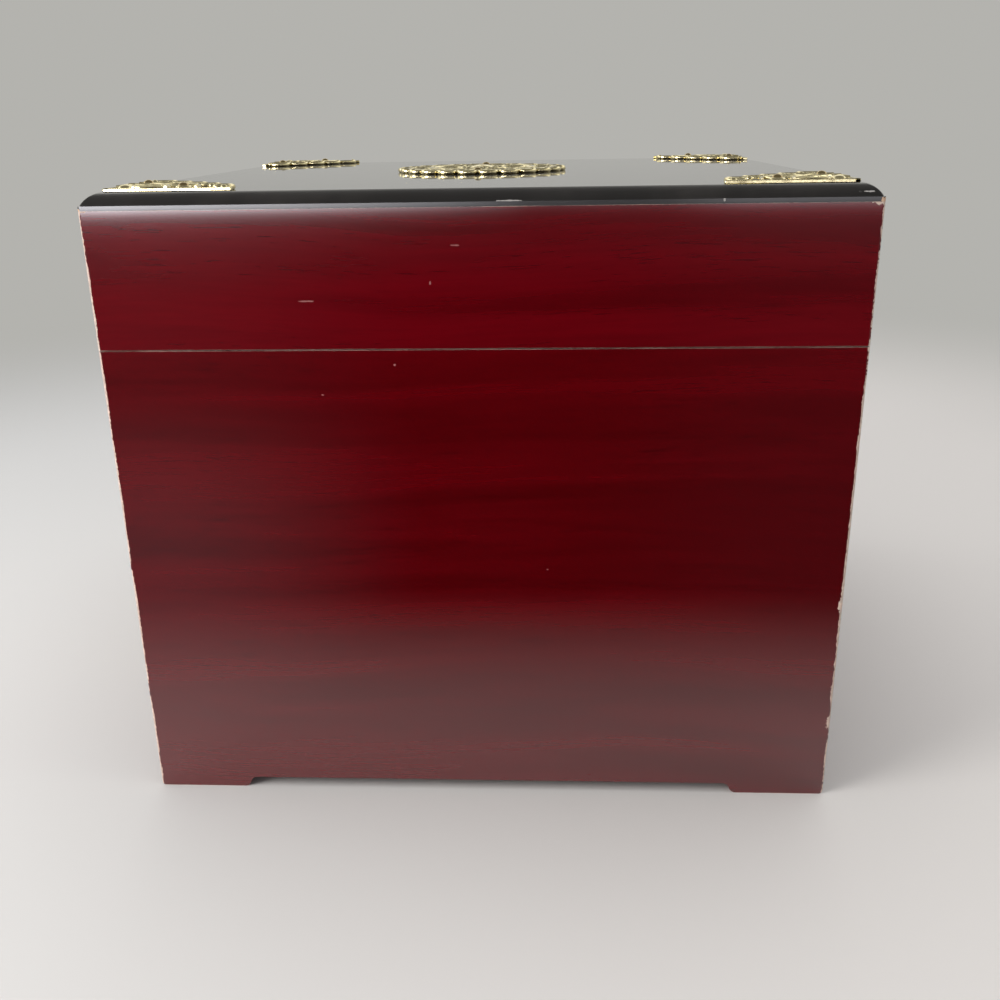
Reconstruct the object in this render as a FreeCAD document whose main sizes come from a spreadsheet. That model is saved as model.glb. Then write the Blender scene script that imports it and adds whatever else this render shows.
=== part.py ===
"""A free-standing wooden jewellery box with a lift-up lid, an open tray and drawers, in millimetres.

The box stands on the floor at z = 0 and faces -Y. The origin is the centre of its footprint, pulls and
hinge knuckles included. Every driving size is a cell of the sheet Sizes; every other size is worked out
from those cells by a formula.
"""

import FreeCAD, Part
import math
import os
import re
import Sketcher

# Driving sizes, each set by itself

SIZES = {
    # Case
    "case_width": 320.0,
    "case_depth": 320.0,
    "case_height": 215.0,
    "wall": 10.0,
    "edge_round": 1.2,
    "foot_length": 41.0,
    "foot_slope": 7.0,
    "foot_arch": 5.2,
    "foot_corner": 2.5,
    "apron_height": 24.0,
    "rabbet_depth": 5.0,
    "groove_depth": 3.0,
    "bottom_thickness": 6.0,
    "shelf_thickness": 6.0,
    # Tray
    "tray_depth": 40.0,
    "tray_floor_thickness": 6.0,
    "tray_lining_thickness": 1.2,
    "partition_thickness": 5.0,
    "partition_height": 30.0,
    "ring_bay": 78.0,
    "ring_roll_height": 18.0,
    "ring_roll_sink": 9.0,
    "cloth_clearance": 0.3,
    # Lid
    "split_gap": 0.4,
    "lid_height": 56.6,
    "top_thickness": 6.8,
    "top_band": 1.9,
    "top_quirk": 0.5,
    "ovolo_width": 5.8,
    "ovolo_flatness": 1.6,
    "liner_thickness": 2.0,
    "mirror_thickness": 3.0,
    "mirror_frame_gap": 12.0,
    "mirror_frame_width": 18.0,
    "mirror_frame_depth": 9.0,
    "mirror_lap": 5.0,
    "mirror_clearance": 0.3,
    "mirror_frame_bevel": 2.0,
    # Brass on the lid
    "fitting_inset": 1.8,
    "fitting_arm": 53.0,
    "fitting_plate": 1.2,
    "fitting_rim_height": 2.3,
    "fitting_rim_width": 2.4,
    "fitting_tip": 3.6,
    "fitting_bulge": 5.0,
    "fitting_lobe_radius": 10.8,
    "fitting_rib": 2.2,
    "fitting_eye_reach": 31.5,
    "petal_start": 8.5,
    "petal_stop": 23.0,
    "leaf_start": 26.5,
    "leaf_stop": 42.5,
    "lozenge_half_width": 2.8,
    "medallion_radius": 44.5,
    "medallion_plate": 1.2,
    "medallion_rim_height": 2.4,
    "medallion_rim_width": 3.0,
    "medallion_ring_radius": 26.0,
    "medallion_ring_width": 2.6,
    "medallion_boss_radius": 11.0,
    "medallion_crown_radius": 5.0,
    "medallion_boss_height": 3.0,
    "medallion_forward": 6.4,
    "medallion_nail_reach": 36.5,
    "nail_far": 31.0,
    "nail_near": 8.0,
    "nail_head_radius": 2.5,
    "nail_head_bevel": 1.1,
    "nail_head_height": 2.1,
    "nail_shank": 0.9,
    "nail_length": 6.0,
    "nail_clearance": 0.05,
    # Hinges
    "hinge_length": 38.0,
    "hinge_inset": 55.0,
    "hinge_offset": 2.2,
    "knuckle_radius": 2.4,
    "knuckle_gap": 0.2,
    "leaf_thickness": 1.2,
    "leaf_width": 8.0,
    "leaf_setback": 0.5,
    "mortise_clearance": 0.1,
    "pin_radius": 1.1,
    "pin_clearance": 0.05,
    "screw_head_radius": 2.0,
    "screw_head_height": 0.7,
    "screw_shank_radius": 1.0,
    "screw_length": 9.0,
    "screw_spacing": 11.0,
    # Drawers
    "drawer_gap": 0.6,
    "drawer_front_thickness": 9.0,
    "drawer_front_bevel": 1.0,
    "drawer_side_gap": 0.6,
    "drawer_side": 6.0,
    "drawer_runner_gap": 0.3,
    "drawer_headroom": 3.0,
    "drawer_rear_gap": 4.0,
    "drawer_bottom": 3.0,
    "drawer_bottom_raise": 2.0,
    "drawer_bottom_groove": 2.0,
    "lining_thickness": 1.2,
    "lining_setdown": 3.0,
    # Drawer pulls
    "pull_plate_thickness": 1.2,
    "pull_plate_width": 68.0,
    "pull_plate_height": 26.0,
    "pull_shoulder_reach": 24.5,
    "pull_shoulder_rise": 8.0,
    "pull_waist_reach": 12.2,
    "pull_waist_rise": 7.5,
    "pull_crown_reach": 7.0,
    "pull_rise": 3.0,
    "post_spacing": 36.0,
    "post_length": 7.5,
    "post_radius": 2.8,
    "post_foot": 3.8,
    "post_foot_height": 1.0,
    "post_stem": 1.5,
    "post_stem_length": 6.0,
    "bail_reach": 4.4,
    "bail_wire": 1.3,
    "bail_clearance": 0.05,
    "bail_drop": 17.0,
    "bail_sweep": 9.0,
    "bail_side_gap": 0.4,
    "grip_radius": 2.2,
    "grip_length": 15.0,
}

DRAWERS = ("lower", "middle", "upper")
KNUCKLES = 3
SCREW_STEPS = (-1, 1)
LOBES = 5
FAN_DEGREES = 28
OUTER_PETALS = 12
INNER_PETALS = 8
PETAL_BOW = 0.8
PEG_SIDES = 4
POST_SIDES = 6
ROUND_SIDES = 8
RING_ROLLS = 5

# Sizes that follow from the others

WORKED_OUT = {
    "inner_width": "case_width - 2 * wall",
    "cyma_radius": "(foot_slope * foot_slope + foot_arch * foot_arch) / (4 * foot_arch)",
    "pull_reach": "pull_plate_thickness + post_length",
    "hinge_reach": "hinge_offset + knuckle_radius",
    "front": "(pull_reach - hinge_reach - case_depth) / 2",
    "middle": "front + case_depth / 2",
    "back": "front + case_depth",
    "tray_base": "case_height - tray_depth - tray_floor_thickness",
    "tray_top": "case_height - tray_depth",
    "shelf_count": str(len(DRAWERS) - 1),
    "bay": f"(tray_base - apron_height - shelf_count * shelf_thickness) / {len(DRAWERS)}",
    "lid_base": "case_height + split_gap",
    "lid_ceiling": "lid_base + lid_height",
    "lid_top": "lid_ceiling + top_thickness",
    "ovolo_drop": "top_thickness - top_band",
    "ovolo_radius": "ovolo_flatness * (ovolo_width * ovolo_width + ovolo_drop * ovolo_drop)"
                    " / (2 * ovolo_drop)",
    "flat_inset": "ovolo_width + top_quirk",
    "mirror_margin": "mirror_frame_gap + mirror_frame_width - mirror_lap",
    "mirror_width": "inner_width - 2 * mirror_margin",
    "mirror_depth": "case_depth - 2 * wall - 2 * mirror_margin",
    "hinge_y": "back + hinge_offset",
    "hinge_z": "case_height + split_gap / 2",
    "nail_hole": "nail_shank + nail_clearance",
    "drawer_start": "front + drawer_front_thickness",
    "drawer_end": "back - wall - drawer_rear_gap",
    "drawer_outer": "inner_width - 2 * drawer_side_gap",
    "drawer_inner": "drawer_outer - 2 * drawer_side",
    "drawer_side_height": "bay - drawer_runner_gap - drawer_headroom",
    "post_axis": "pull_plate_thickness + bail_reach",
    "bail_hole": "bail_wire + bail_clearance",
    "bail_arm": "post_spacing / 2 + post_radius + bail_side_gap + bail_wire",
    "ring_roll_width": f"(ring_bay - 2 * cloth_clearance) / {RING_ROLLS}",
    "ring_roll_radius": "(ring_roll_width * ring_roll_width / 4 + ring_roll_sink * ring_roll_sink)"
                        " / (2 * ring_roll_sink)",
}

document = FreeCAD.newDocument("JewelleryBox")
sheet = document.addObject("Spreadsheet::Sheet", "Sizes")
for row, (size_name, size_value) in enumerate(SIZES.items(), start=1):
    sheet.set(f"A{row}", size_name)
    sheet.set(f"B{row}", str(size_value))
    sheet.setAlias(f"B{row}", size_name)
document.recompute()

pieces = []


# Formulas

def bound(formula):
    """The formula as the document reads it, with each size named as a cell of the sheet."""
    def swap(found):
        word = found.group()
        if word in WORKED_OUT:
            return "(" + bound(WORKED_OUT[word]) + ")"
        return "Sizes." + word if word in SIZES else word
    return re.sub(r"[a-z][a-z_]*", swap, str(formula))


def number(formula):
    """What the formula comes to."""
    return float(sheet.evalExpression(bound(formula)))


def bind(item, **formulas):
    """Ties properties of an object to formulas."""
    for name, formula in formulas.items():
        item.setExpression(name, bound(formula))
    return item


def place(item, across=0, along=0, up=0, turn=None):
    """Puts an object at a place that follows the sheet, turned if asked."""
    if turn is not None:
        item.Placement = FreeCAD.Placement(FreeCAD.Vector(), turn)
    item.setExpression("Placement.Base.x", bound(across))
    item.setExpression("Placement.Base.y", bound(along))
    item.setExpression("Placement.Base.z", bound(up))
    return item


TO_X = FreeCAD.Rotation(FreeCAD.Vector(0, 1, 0), 90)
TO_Y = FreeCAD.Rotation(FreeCAD.Vector(1, 0, 0), -90)
TO_FRONT = FreeCAD.Rotation(FreeCAD.Vector(1, 0, 0), 90)


# Primitives and booleans

def block(name, size, corner):
    """A straight-sided block, from its lowest corner."""
    item = document.addObject("Part::Box", name)
    bind(item, Length=size[0], Width=size[1], Height=size[2])
    return place(item, *corner)


def rod(name, radius, length, start, turn=None):
    """A round bar from its start, standing unless turned."""
    item = document.addObject("Part::Cylinder", name)
    bind(item, Radius=radius, Height=length)
    return place(item, *start, turn=turn)


def peg(name, sides, reach, length, start, turn=None):
    """A small bar with flat sides, as far across its corners as twice the reach."""
    item = document.addObject("Part::Prism", name)
    item.Polygon = sides
    bind(item, Circumradius=reach, Height=length)
    return place(item, *start, turn=turn)


def joined(name, items):
    """Solids made into one."""
    item = document.addObject("Part::MultiFuse", name)
    item.Shapes = items
    return item


def cut_away(name, base, tools):
    """A solid less its tools."""
    item = document.addObject("Part::Cut", name)
    item.Base = base
    item.Tool = tools[0] if len(tools) == 1 else joined(name + "_tools", tools)
    return item


def group(name, items):
    """Separate solids kept as one set."""
    item = document.addObject("Part::Compound", name)
    item.Links = items
    return item


def keep(item, label):
    """Names a finished piece."""
    item.Label = label
    pieces.append(item)
    return item


# Sketches and features

def new_body(name):
    return document.addObject("PartDesign::Body", name)


def sketch_on(body, role, name, offset=None):
    """A sketch on one of the body's own planes, or parallel to it at an offset."""
    sketch = body.newObject("Sketcher::SketchObject", name)
    plane = next(feature for feature in body.Origin.OriginFeatures if feature.Role == role)
    sketch.AttachmentSupport = [(plane, "")]
    sketch.MapMode = "FlatFace"
    if offset is not None:
        sketch.setExpression("AttachmentOffset.Base.z", bound(offset))
    return sketch


def fix(sketch, kind, *terms):
    """Adds a constraint whose value follows a formula."""
    *where, formula = terms
    index = sketch.addConstraint(Sketcher.Constraint(kind, *where, number(formula)))
    name = f"{kind.lower()}{index}"
    sketch.renameConstraint(index, name)
    sketch.setExpression("Constraints." + name, bound(formula))


def arc_between(start, end, radius, turn):
    """An arc of less than half a turn that leaves start and reaches end turning left or right."""
    chord = end - start
    side = 1.0 if turn == "left" else -1.0
    left = FreeCAD.Vector(-chord.y, chord.x, 0).normalize()
    rise = math.sqrt(max(radius ** 2 - (chord.Length / 2) ** 2, 0.0))
    centre = (start + end) / 2 + left * (side * rise)
    first, last = (start, end) if turn == "left" else (end, start)
    angles = [math.atan2(point.y - centre.y, point.x - centre.x) for point in (first, last)]
    circle = Part.Circle(centre, FreeCAD.Vector(0, 0, 1), radius)
    return Part.ArcOfCircle(circle, *angles)


def draw(sketch, corners, closed=True):
    """Draws lines and arcs from corner to corner, each corner held by the sheet.

    A corner is (across, up) where a line reaches it, or (across, up, radius, turn) where an arc does.
    """
    points = [FreeCAD.Vector(number(corner[0]), number(corner[1]), 0) for corner in corners]
    first = sketch.GeometryCount
    ends = []
    order = range(len(corners)) if closed else range(1, len(corners))
    for index in order:
        corner = corners[index]
        start, end = points[index - 1], points[index]
        if len(corner) == 2:
            sketch.addGeometry(Part.LineSegment(start, end), False)
            ends.append((1, 2))
        else:
            arc = arc_between(start, end, number(corner[2]), corner[3])
            sketch.addGeometry(arc, False)
            ends.append((1, 2) if corner[3] == "left" else (2, 1))
    for step, index in enumerate(order):
        line = first + step
        corner = corners[index]
        fix(sketch, "DistanceX", -1, 1, line, ends[step][1], corner[0])
        fix(sketch, "DistanceY", -1, 1, line, ends[step][1], corner[1])
        if len(corner) == 4:
            fix(sketch, "Radius", line, corner[2])
        if closed or step + 1 < len(order):
            after = (step + 1) % len(order)
            sketch.addConstraint(
                Sketcher.Constraint("Coincident", line, ends[step][1], first + after, ends[after][0]))
    if not closed:
        fix(sketch, "DistanceX", -1, 1, first, ends[0][0], corners[0][0])
        fix(sketch, "DistanceY", -1, 1, first, ends[0][0], corners[0][1])


def rectangle(across, up, width, height):
    """The corners of a rectangle from its lowest corner."""
    right, top = f"{across} + {width}", f"{up} + {height}"
    return [(across, up), (right, up), (right, top), (across, top)]


def pad(body, sketch, length, reversed_way=False):
    feature = body.newObject("PartDesign::Pad", body.Name + "Pad")
    feature.Profile = sketch
    feature.Reversed = reversed_way
    bind(feature, Length=length)
    return feature


def pocket(body, sketch, depth=None, reversed_way=False):
    """Cuts a sketch into the body, right through where no depth is given, and checks that it did cut."""
    document.recompute()
    before = body.Shape.Volume
    feature = body.newObject("PartDesign::Pocket", body.Name + "Pocket")
    feature.Profile = sketch
    feature.Reversed = reversed_way
    if depth is None:
        feature.Type = "ThroughAll"
    else:
        bind(feature, Length=depth)
    document.recompute()
    if body.Shape.Volume >= before:
        raise RuntimeError(f"{feature.Name} cuts nothing")
    return feature


def polar(body, feature, count):
    """Repeats a feature round the body's own Z axis."""
    pattern = body.newObject("PartDesign::PolarPattern", body.Name + "Pattern")
    pattern.Originals = [feature]
    axis = next(item for item in body.Origin.OriginFeatures if item.Role == "Z_Axis")
    pattern.Axis = (axis, [""])
    pattern.Angle = 360
    pattern.Occurrences = count
    body.Tip = pattern
    document.recompute()
    return pattern


def bevel_edges(body, size, wanted):
    """Bevels the straight edges whose middle point passes the test."""
    document.recompute()
    base = body.Tip
    names = []
    for index, edge in enumerate(base.Shape.Edges, start=1):
        if len(edge.Vertexes) == 2 and wanted(edge.CenterOfMass):
            names.append(f"Edge{index}")
    bevel = body.newObject("PartDesign::Chamfer", body.Name + "Bevel")
    bevel.Base = (base, names)
    bind(bevel, Size=size)
    document.recompute()
    return bevel


def near(value, formula):
    return abs(value - number(formula)) < 0.01


def ring_of(sides, reach):
    """The corners of a regular outline round the sketch's origin."""
    angles = [360 * step / sides for step in range(sides)]
    return [(f"{reach} * cos({angle})", f"{reach} * sin({angle})") for angle in angles]


def draw_diamond(sketch, across, up, reach):
    """A square hole stood on its corner."""
    draw(sketch, [(f"{across} + {reach}", up), (across, f"{up} + {reach}"),
                  (f"{across} - {reach}", up), (across, f"{up} - {reach}")])


# Case

def shelf_height(level):
    """The floor on which the drawer of a level runs."""
    return f"(apron_height + {level} * (bay + shelf_thickness))"


def arch_curve(span, foot):
    """The underside of a board from one foot to the other: an arch that ends in flat cyma curves."""
    slope_middle = f"({foot} + foot_slope / 2)"
    slope_end = f"({foot} + foot_slope)"
    return [
        (foot, "0"),
        (slope_middle, "foot_arch / 2", "cyma_radius", "left"),
        (slope_end, "foot_arch", "cyma_radius", "right"),
        (f"{span} - {slope_end}", "foot_arch"),
        (f"{span} - {slope_middle}", "foot_arch / 2", "cyma_radius", "right"),
        (f"{span} - {foot}", "0", "cyma_radius", "left"),
    ]


def arched_outline(span, height, foot):
    """A board that stands on two feet."""
    return [("0", "0")] + arch_curve(span, foot) + [(span, "0"), (span, height), ("0", height)]


def eased_plan(side):
    """A side board seen from above: square inside, with its two outer corners eased."""
    right = side == "right"
    inner, outer = ("0", "wall") if right else ("wall", "0")
    eased = "wall - edge_round" if right else "edge_round"
    turn = "left" if right else "right"
    return [
        (inner, "0"),
        (eased, "0"),
        (outer, "edge_round", "edge_round", turn),
        (outer, "case_depth - edge_round"),
        (eased, "case_depth", "edge_round", turn),
        (inner, "case_depth"),
    ]


def side_panel(side):
    """One side of the case, grooved inside for the floors and rabbeted for the back."""
    label = f"side_panel_{side}"
    body = new_body(label)
    plan = sketch_on(body, "XY_Plane", label + "_plan")
    draw(plan, eased_plan(side))
    pad(body, plan, "case_height")
    arch = sketch_on(body, "YZ_Plane", label + "_arch")
    draw(arch, arch_curve("case_depth", "foot_length")
         + [("case_depth - foot_length", "-wall"), ("foot_length", "-wall")])
    draw(arch, [("foot_corner", "0"), ("0", "foot_corner", "foot_corner", "right"),
                ("-wall", "foot_corner"), ("-wall", "-wall"), ("foot_corner", "-wall")])
    draw(arch, [("case_depth - foot_corner", "0"), ("case_depth", "foot_corner", "foot_corner", "left"),
                ("case_depth + wall", "foot_corner"), ("case_depth + wall", "-wall"),
                ("case_depth - foot_corner", "-wall")])
    pocket(body, arch, None, True)
    inner_face = "0" if side == "right" else "wall"
    into_board = side == "right"
    grooves = sketch_on(body, "YZ_Plane", label + "_grooves", inner_face)
    floors = [("apron_height - bottom_thickness", "bottom_thickness"),
              ("tray_base", "tray_floor_thickness")]
    floors += [(f"{shelf_height(level)} - shelf_thickness", "shelf_thickness")
               for level in range(1, len(DRAWERS))]
    for low, thickness in floors:
        draw(grooves, rectangle("wall", low, "case_depth - 2 * wall", thickness))
    pocket(body, grooves, "groove_depth", into_board)
    rabbet = sketch_on(body, "YZ_Plane", label + "_rabbet", inner_face)
    draw(rabbet, rectangle("case_depth - wall", "-wall", "2 * wall", "case_height + 2 * wall"))
    pocket(body, rabbet, "rabbet_depth", into_board)
    across = "case_width / 2 - wall" if side == "right" else "-case_width / 2"
    keep(place(body, across, "front", "0"), label)


def hinge_centres():
    return {"left": "(hinge_inset - case_width / 2)", "right": "(case_width / 2 - hinge_inset)"}


def mortise(name, centre, low, height):
    """The shallow bed that a hinge leaf lies in, open at the back."""
    size = ("hinge_length + 2 * mortise_clearance", "leaf_setback + leaf_width + 2 * mortise_clearance",
            height)
    corner = (f"{centre} - hinge_length / 2 - mortise_clearance",
              "back - leaf_setback - leaf_width - mortise_clearance", low)
    return block(name, size, corner)


def screw_places():
    """Where the hinge screws stand, as hinge side, step along the leaf and centre of the hinge."""
    return [(side, step, centre) for side, centre in hinge_centres().items() for step in SCREW_STEPS]


def screw_at(centre, step):
    return f"{centre} + {step} * screw_spacing", "back - leaf_setback - leaf_width / 2"


def back_panel():
    """The back of the case, let into the sides and cut for the hinges."""
    body = new_body("back_board")
    outline = sketch_on(body, "XZ_Plane", "back_outline")
    span = "(inner_width + 2 * rabbet_depth)"
    draw(outline, arched_outline(span, "case_height", "(foot_length - wall + rabbet_depth)"))
    pad(body, outline, "wall")
    place(body, "-inner_width / 2 - rabbet_depth", "back", "0")
    tools = [mortise(f"case_mortise_{side}", centre, "case_height - leaf_thickness", "wall")
             for side, centre in hinge_centres().items()]
    for side, step, centre in screw_places():
        across, along = screw_at(centre, step)
        tools.append(peg(f"case_pilot_{side}_{step + 1}", ROUND_SIDES,
                         "screw_shank_radius + nail_clearance", "screw_length",
                         (across, along, "case_height - screw_length")))
    keep(cut_away("back_cut", body, tools), "back_panel")


def front_apron():
    """The lowest front board, with the arch between the front feet."""
    body = new_body("apron_board")
    outline = sketch_on(body, "XZ_Plane", "apron_outline")
    draw(outline, arched_outline("inner_width", "apron_height", "(foot_length - wall)"))
    pad(body, outline, "wall")
    keep(place(body, "-inner_width / 2", "front + wall", "0"), "front_apron")


def floor_board(label, low, thickness):
    """A board that lies in the side grooves between the front board and the back."""
    size = ("inner_width + 2 * groove_depth", "case_depth - 2 * wall", thickness)
    keep(block(label, size, ("-inner_width / 2 - groove_depth", "front + wall", low)), label)


def shelf(label, level):
    """A drawer shelf: it shows between the drawers in front and lies in the grooves behind."""
    body = new_body(label)
    outline = sketch_on(body, "XY_Plane", label + "_outline")
    half, wide = "(inner_width / 2)", "(inner_width / 2 + groove_depth)"
    draw(outline, [
        (f"-{half}", "0"), (half, "0"), (half, "wall"), (wide, "wall"),
        (wide, "case_depth - wall"), (f"-{wide}", "case_depth - wall"),
        (f"-{wide}", "wall"), (f"-{half}", "wall"),
    ])
    pad(body, outline, "shelf_thickness")
    keep(place(body, "0", "front", f"{shelf_height(level)} - shelf_thickness"), label)


def case():
    side_panel("left")
    side_panel("right")
    back_panel()
    front_apron()
    keep(block("front_top_rail", ("inner_width", "wall", "case_height - tray_base"),
               ("-inner_width / 2", "front", "tray_base")), "front_top_rail")
    floor_board("bottom_board", "apron_height - bottom_thickness", "bottom_thickness")
    floor_board("tray_floor", "tray_base", "tray_floor_thickness")
    for level, name in enumerate(DRAWERS[1:], start=1):
        shelf(f"shelf_{DRAWERS[level - 1]}", level)


# Tray

def tray():
    """The lining, the dividers and the ring cushion of the open tray under the lid."""
    lining_top = "(tray_top + tray_lining_thickness)"
    keep(block("tray_lining",
               ("inner_width - 2 * cloth_clearance", "case_depth - 2 * wall - 2 * cloth_clearance",
                "tray_lining_thickness"),
               ("-inner_width / 2 + cloth_clearance", "front + wall + cloth_clearance", "tray_top")),
         "tray_lining")
    long_at = "(front + wall + ring_bay)"
    dividers = [block("tray_divider_long", ("inner_width", "partition_thickness", "partition_height"),
                      ("-inner_width / 2", long_at, lining_top))]
    cross_length = f"(back - wall - {long_at} - partition_thickness)"
    cross_size = ("partition_thickness", cross_length, "partition_height")
    for name, side in (("left", -1), ("right", 1)):
        corner = (f"{side} * inner_width / 6 - partition_thickness / 2",
                  f"{long_at} + partition_thickness", lining_top)
        dividers.append(block(f"tray_divider_{name}", cross_size, corner))
    keep(group("tray_dividers", dividers), "tray_dividers")
    cushion = new_body("ring_cushion")
    profile = sketch_on(cushion, "YZ_Plane", "ring_rolls")
    low_edge = "ring_roll_height - ring_roll_sink"
    corners = [("0", "0"), (f"{RING_ROLLS} * ring_roll_width", "0"),
               (f"{RING_ROLLS} * ring_roll_width", low_edge)]
    for roll in reversed(range(RING_ROLLS)):
        crown = f"{roll + 0.5} * ring_roll_width"
        corners.append((crown, "ring_roll_height", "ring_roll_radius", "left"))
        corners.append((f"{roll} * ring_roll_width", low_edge, "ring_roll_radius", "left"))
    draw(profile, corners)
    pad(cushion, profile, "inner_width - 2 * cloth_clearance")
    keep(place(cushion, "-inner_width / 2 + cloth_clearance", "front + wall + cloth_clearance",
               f"{lining_top} + cloth_clearance"), "ring_cushion")


# Lid

def lid_side(side):
    """One side of the lid, with its outer edges eased."""
    label = f"lid_side_{side}"
    body = new_body(label)
    plan = sketch_on(body, "XY_Plane", label + "_plan")
    draw(plan, eased_plan(side))
    pad(body, plan, "lid_height")
    across = "case_width / 2 - wall" if side == "right" else "-case_width / 2"
    keep(place(body, across, "front", "lid_base"), label)


def lid_back():
    """The back of the lid, cut for the hinges."""
    board = block("lid_back_board", ("inner_width", "wall", "lid_height"),
                  ("-inner_width / 2", "back - wall", "lid_base"))
    tools = [mortise(f"lid_mortise_{side}", centre, "lid_base + leaf_thickness - wall", "wall")
             for side, centre in hinge_centres().items()]
    for side, step, centre in screw_places():
        across, along = screw_at(centre, step)
        tools.append(peg(f"lid_pilot_{side}_{step + 1}", ROUND_SIDES,
                         "screw_shank_radius + nail_clearance", "screw_length",
                         (across, along, "lid_base")))
    keep(cut_away("lid_back_cut", board, tools), "lid_back")


def moulded_corner(half, side):
    """What the edge moulding takes off one top corner: a quirk, then a rounded ovolo."""
    outside = f"{side} * ({half} + wall)"
    turn = "left" if side > 0 else "right"
    return [
        (outside, "top_band"),
        (f"{side} * ({half} - top_quirk)", "top_band"),
        (f"{side} * ({half} - flat_inset)", "top_thickness", "ovolo_radius", turn),
        (f"{side} * ({half} - flat_inset)", "top_thickness + wall"),
        (outside, "top_thickness + wall"),
    ]


def nail_places():
    """Where the dome nails stand, from the middle of the lid, and the plate that each one goes through."""
    half_width = "(case_width / 2 - flat_inset - fitting_inset)"
    half_depth = "(case_depth / 2 - flat_inset - fitting_inset)"
    places = []
    for across in (-1, 1):
        for along in (-1, 1):
            for reach, rise in (("nail_far", "nail_near"), ("nail_near", "nail_far")):
                places.append((f"{across} * ({half_width} - {reach})",
                               f"{along} * ({half_depth} - {rise})", "fitting_plate"))
    for across in (-1, 1):
        places.append((f"{across} * medallion_nail_reach", "-medallion_forward", "medallion_plate"))
    return places


def lid_top_board():
    """The top board with its moulded edge all round and the holes of the dome nails."""
    body = new_body("lid_top_board")
    outline = sketch_on(body, "XY_Plane", "top_outline")
    draw(outline, rectangle("-case_width / 2", "-case_depth / 2", "case_width", "case_depth"))
    pad(body, outline, "top_thickness")
    for plane, half, reach in (("XZ_Plane", "case_width / 2", "case_depth"),
                               ("YZ_Plane", "case_depth / 2", "case_width")):
        for side in (-1, 1):
            profile = sketch_on(body, plane, f"moulding_{plane[:2]}_{side + 1}", f"-{reach}")
            draw(profile, moulded_corner(half, side))
            pocket(body, profile, f"2 * {reach}", True)
    holes = sketch_on(body, "XY_Plane", "nail_holes", "top_thickness")
    for across, along, _ in nail_places():
        draw_diamond(holes, across, along, "nail_hole")
    pocket(body, holes, "nail_length")
    keep(place(body, "0", "middle", "lid_ceiling"), "lid_top_board")


def mirror_outline(beyond):
    """A rectangle round the middle of the mirror that goes beyond its edges."""
    half_width, half_depth = f"(mirror_width / 2 + {beyond})", f"(mirror_depth / 2 + {beyond})"
    return rectangle(f"-{half_width}", f"-{half_depth}", f"2 * {half_width}", f"2 * {half_depth}")


def mirror_set():
    """The fabric liner inside the top, the mirror and the frame that laps over its edge."""
    keep(block("lid_liner",
               ("inner_width - 2 * cloth_clearance", "case_depth - 2 * wall - 2 * cloth_clearance",
                "liner_thickness"),
               ("-inner_width / 2 + cloth_clearance", "front + wall + cloth_clearance",
                "lid_ceiling - liner_thickness")), "lid_liner")
    mirror_face = "(lid_ceiling - liner_thickness - mirror_thickness)"
    keep(block("mirror", ("mirror_width", "mirror_depth", "mirror_thickness"),
               ("-mirror_width / 2", "middle - mirror_depth / 2", mirror_face)), "mirror")
    frame = new_body("mirror_frame")
    rim = sketch_on(frame, "XY_Plane", "frame_outline")
    draw(rim, mirror_outline("(mirror_frame_width - mirror_lap)"))
    draw(rim, mirror_outline("(-mirror_lap)"))
    pad(frame, rim, "mirror_frame_depth")
    seat = sketch_on(frame, "XY_Plane", "frame_seat", "mirror_frame_depth")
    draw(seat, mirror_outline("mirror_clearance"))
    pocket(frame, seat, "mirror_thickness")
    bevel_edges(frame, "mirror_frame_bevel", lambda point: near(point.z, "0"))
    keep(place(frame, "0", "middle", "lid_ceiling - liner_thickness - mirror_frame_depth"),
         "mirror_frame")


def lid():
    lid_side("left")
    lid_side("right")
    keep(block("lid_front", ("inner_width", "wall", "lid_height"),
               ("-inner_width / 2", "front", "lid_base")), "lid_front")
    lid_back()
    lid_top_board()
    mirror_set()


# Openwork brass

def lobed_edge():
    """The lobed inner edge of a corner fitting, from the tip of one arm to the tip of the other."""
    def junction(step):
        share = step / LOBES
        bulge = round(math.sin(math.pi * share), 4)
        run = "(fitting_arm - fitting_tip)"
        return (f"fitting_arm - {share} * {run} + {bulge} * fitting_bulge",
                f"fitting_tip + {share} * {run} + {bulge} * fitting_bulge")
    return [junction(step) + ("fitting_lobe_radius", "left") for step in range(1, LOBES + 1)]


def pointed_opening(sketch, degrees, start, stop, origin="0"):
    """A pointed opening on a ray, between two distances from the ray's origin."""
    def on_ray(reach):
        return f"{origin} + {reach} * cos({degrees})", f"{origin} + {reach} * sin({degrees})"
    bow = f"{PETAL_BOW} * ({stop} - {start})"
    draw(sketch, [on_ray(start) + (bow, "left"), on_ray(stop) + (bow, "left")])


def lozenge(sketch, degrees, start, stop, origin="0"):
    """A straight-sided opening on a ray, between two distances from the ray's origin."""
    def off_ray(reach, aside):
        return (f"{origin} + {reach} * cos({degrees}) - {aside} * sin({degrees})",
                f"{origin} + {reach} * sin({degrees}) + {aside} * cos({degrees})")
    middle = f"(({start} + {stop}) / 2)"
    draw(sketch, [off_ray(start, "0"), off_ray(middle, "-lozenge_half_width"), off_ray(stop, "0"),
                  off_ray(middle, "lozenge_half_width")])


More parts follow.
